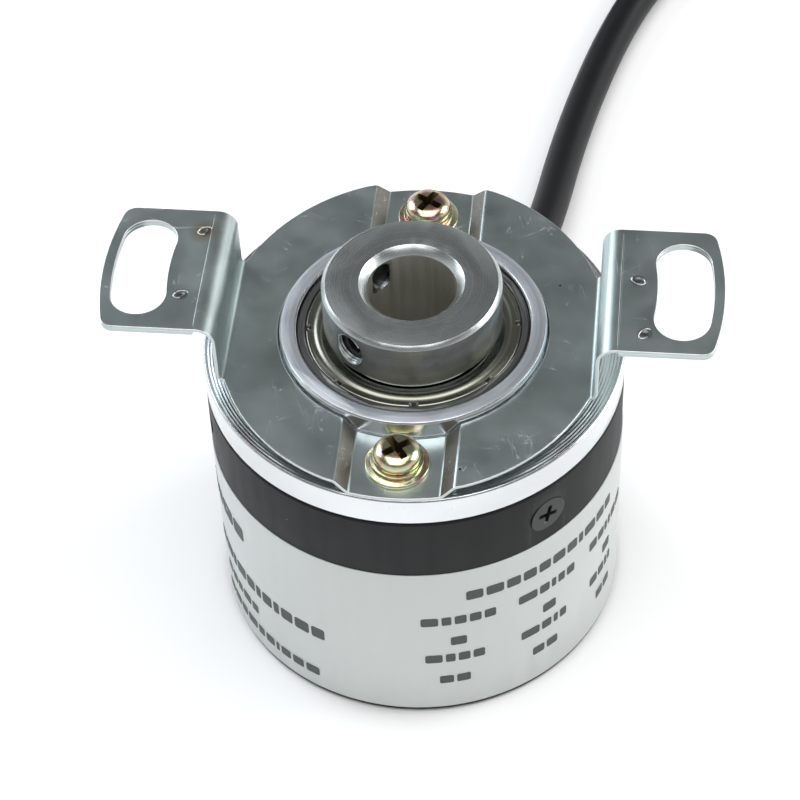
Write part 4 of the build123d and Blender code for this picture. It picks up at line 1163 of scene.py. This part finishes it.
def teeth_recipe():
    """Small ribs on points, all turned one way."""
    tree, given = recipe("tie_teeth", Long=SIZE, Wide=SIZE, Tall=SIZE, Turn=SIZE, Material=STUFF)
    rib = put(tree, "GeometryNodeMeshCylinder", {"Vertices": 6, "Radius": 0.5, "Depth": 1.0})
    lying = moved(tree, rib.outputs["Mesh"], Rotation=(math.pi / 2, 0, 0))
    shaped = moved(tree, lying, Scale=xyz(tree, given["Wide"], given["Long"], given["Tall"]))
    return set_out(tree, given, shaped, xyz(tree, z=given["Turn"]), smooth=False)


tooth_pitch, tooth_count, tooth_sink = 0.62 * MM, 21, 0.02 * MM
strap_top = Vector((0, 0, (tie_high.z - tie_low.z) / 2))
tooth_places = [tie_middle + tie_out * ((k - tooth_count // 2) * tooth_pitch) + strap_top
                for k in range(tooth_count)]
teeth_mesh = grow(teeth_recipe(), [p - Vector((0, 0, tooth_sink)) for p in tooth_places], Long=1.8 * MM,
                  Wide=0.34 * MM, Tall=0.12 * MM, Turn=tie_angle, Material=finishes["tie_nylon"])
teeth = new_piece("tie_teeth", teeth_mesh, "housing", "tie_nylon")


def tie_head(width=4.2, length=4.4, height=3.6, round_mm=0.5, wall=0.7, deep=0.8, strap=8.2, gap=0.4):
    """A rounded ratchet head on the strap's outer side, in millimetres."""
    block = bmesh.new()
    bmesh.ops.create_cube(block, size=1.0)
    for vertex in block.verts:
        vertex.co = Vector((vertex.co.x * height, vertex.co.y * width, vertex.co.z * length)) * MM
    bmesh.ops.bevel(block, geom=block.edges[:], offset=round_mm * MM, segments=4, profile=0.5,
                    affect="EDGES")
    pocket = [f for f in block.faces if f.normal.z > 0.99]
    bmesh.ops.inset_region(block, faces=pocket, thickness=wall * MM)
    bmesh.ops.translate(block, verts=list({v for f in pocket for v in f.verts}), vec=(0, 0, -deep * MM))
    bmesh.ops.rotate(block, verts=block.verts, cent=(0, 0, 0), matrix=Matrix.Rotation(tie_angle, 3, "Z"))
    at = tie_middle + tie_out * (strap + gap + height / 2) * MM
    bmesh.ops.translate(block, verts=block.verts, vec=at)
    return sharpened(as_mesh(block, "tie_head", outward=False), 40)


head = new_piece("tie_head", tie_head(), "housing", "tie_nylon", finishes["tie_nylon"])
pieces_on_cable = [soft_pieces["cable_grommet"], soft_pieces["coil_tie"], teeth, head, tip_piece]
pieces_on_cable += lead_pieces

# %% [markdown]
# The studio is a pale table under a soft light tent. The tent is bright near
# the table and darker higher up, so the polished rim and the label glow while
# the flat tops stay deep and show their grain. A large overhead softbox whitens
# the table, and one on each side, a little behind, draws the bright lines on
# the bends. The left one is slightly blue.

# %% Studio
def softbox(name, place, aim, size, power, colour=(1, 1, 1)):
    """A soft square light that faces a point, in metres and watts."""
    light = bpy.data.lights.new(name, "AREA")
    light.size = size
    light.energy = power
    light.color = colour
    lamp = bpy.data.objects.new(name, light)
    bpy.context.scene.collection.objects.link(lamp)
    lamp.location = place
    lamp.rotation_mode = "QUATERNION"
    lamp.rotation_quaternion = (Vector(aim) - Vector(place)).to_track_quat("-Z", "Y")
    return lamp


def light_tent():
    """A world whose light depends only on the height it comes from."""
    world = bpy.data.worlds.new("light_tent")
    world.use_nodes = True
    tree = world.node_tree
    height = put(tree, "ShaderNodeSeparateXYZ", {0: put(tree, "ShaderNodeTexCoord").outputs["Generated"]})
    glow = ramp(tree, height.outputs[2], (0.0, 0.95), (0.30, 0.85), (0.50, 0.30), (0.62, 0.11), (0.84, 0.11),
                (1.0, 0.5))
    tree.links.new(glow, tree.nodes["Background"].inputs["Color"])
    tree.nodes["Background"].inputs["Strength"].default_value = 1.0
    return world


bpy.context.scene.world = light_tent()
bpy.ops.mesh.primitive_plane_add(size=4.0)
table = bpy.context.object
table.name = "table"
table.data.materials.append(finish("table_paper", (0.93, 0.93, 0.93), Roughness=0.7)[0])
softbox("overhead", (0.0, -0.15, 0.9), (0, 0, 0), size=0.9, power=6.5)
softbox("left", (-0.65, 0.4, 0.5), (0, 0, 0.02), size=0.5, power=3.5, colour=(0.84, 0.92, 1.0))
softbox("right", (0.75, 0.25, 0.5), (0, 0, 0.02), size=0.5, power=4.0)
bpy.context.scene.view_settings.view_transform = "Standard"

signal_cable.data.materials.append(finishes["cable_jacket"])
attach(signal_cable, "housing")
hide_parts("cable", "cable_coil", "cable_end")
for name, node in nodes.items():
    if not node.hide_render:
        node.data.materials.clear()
        node.data.materials.append(finishes[slot_of_node[name]])
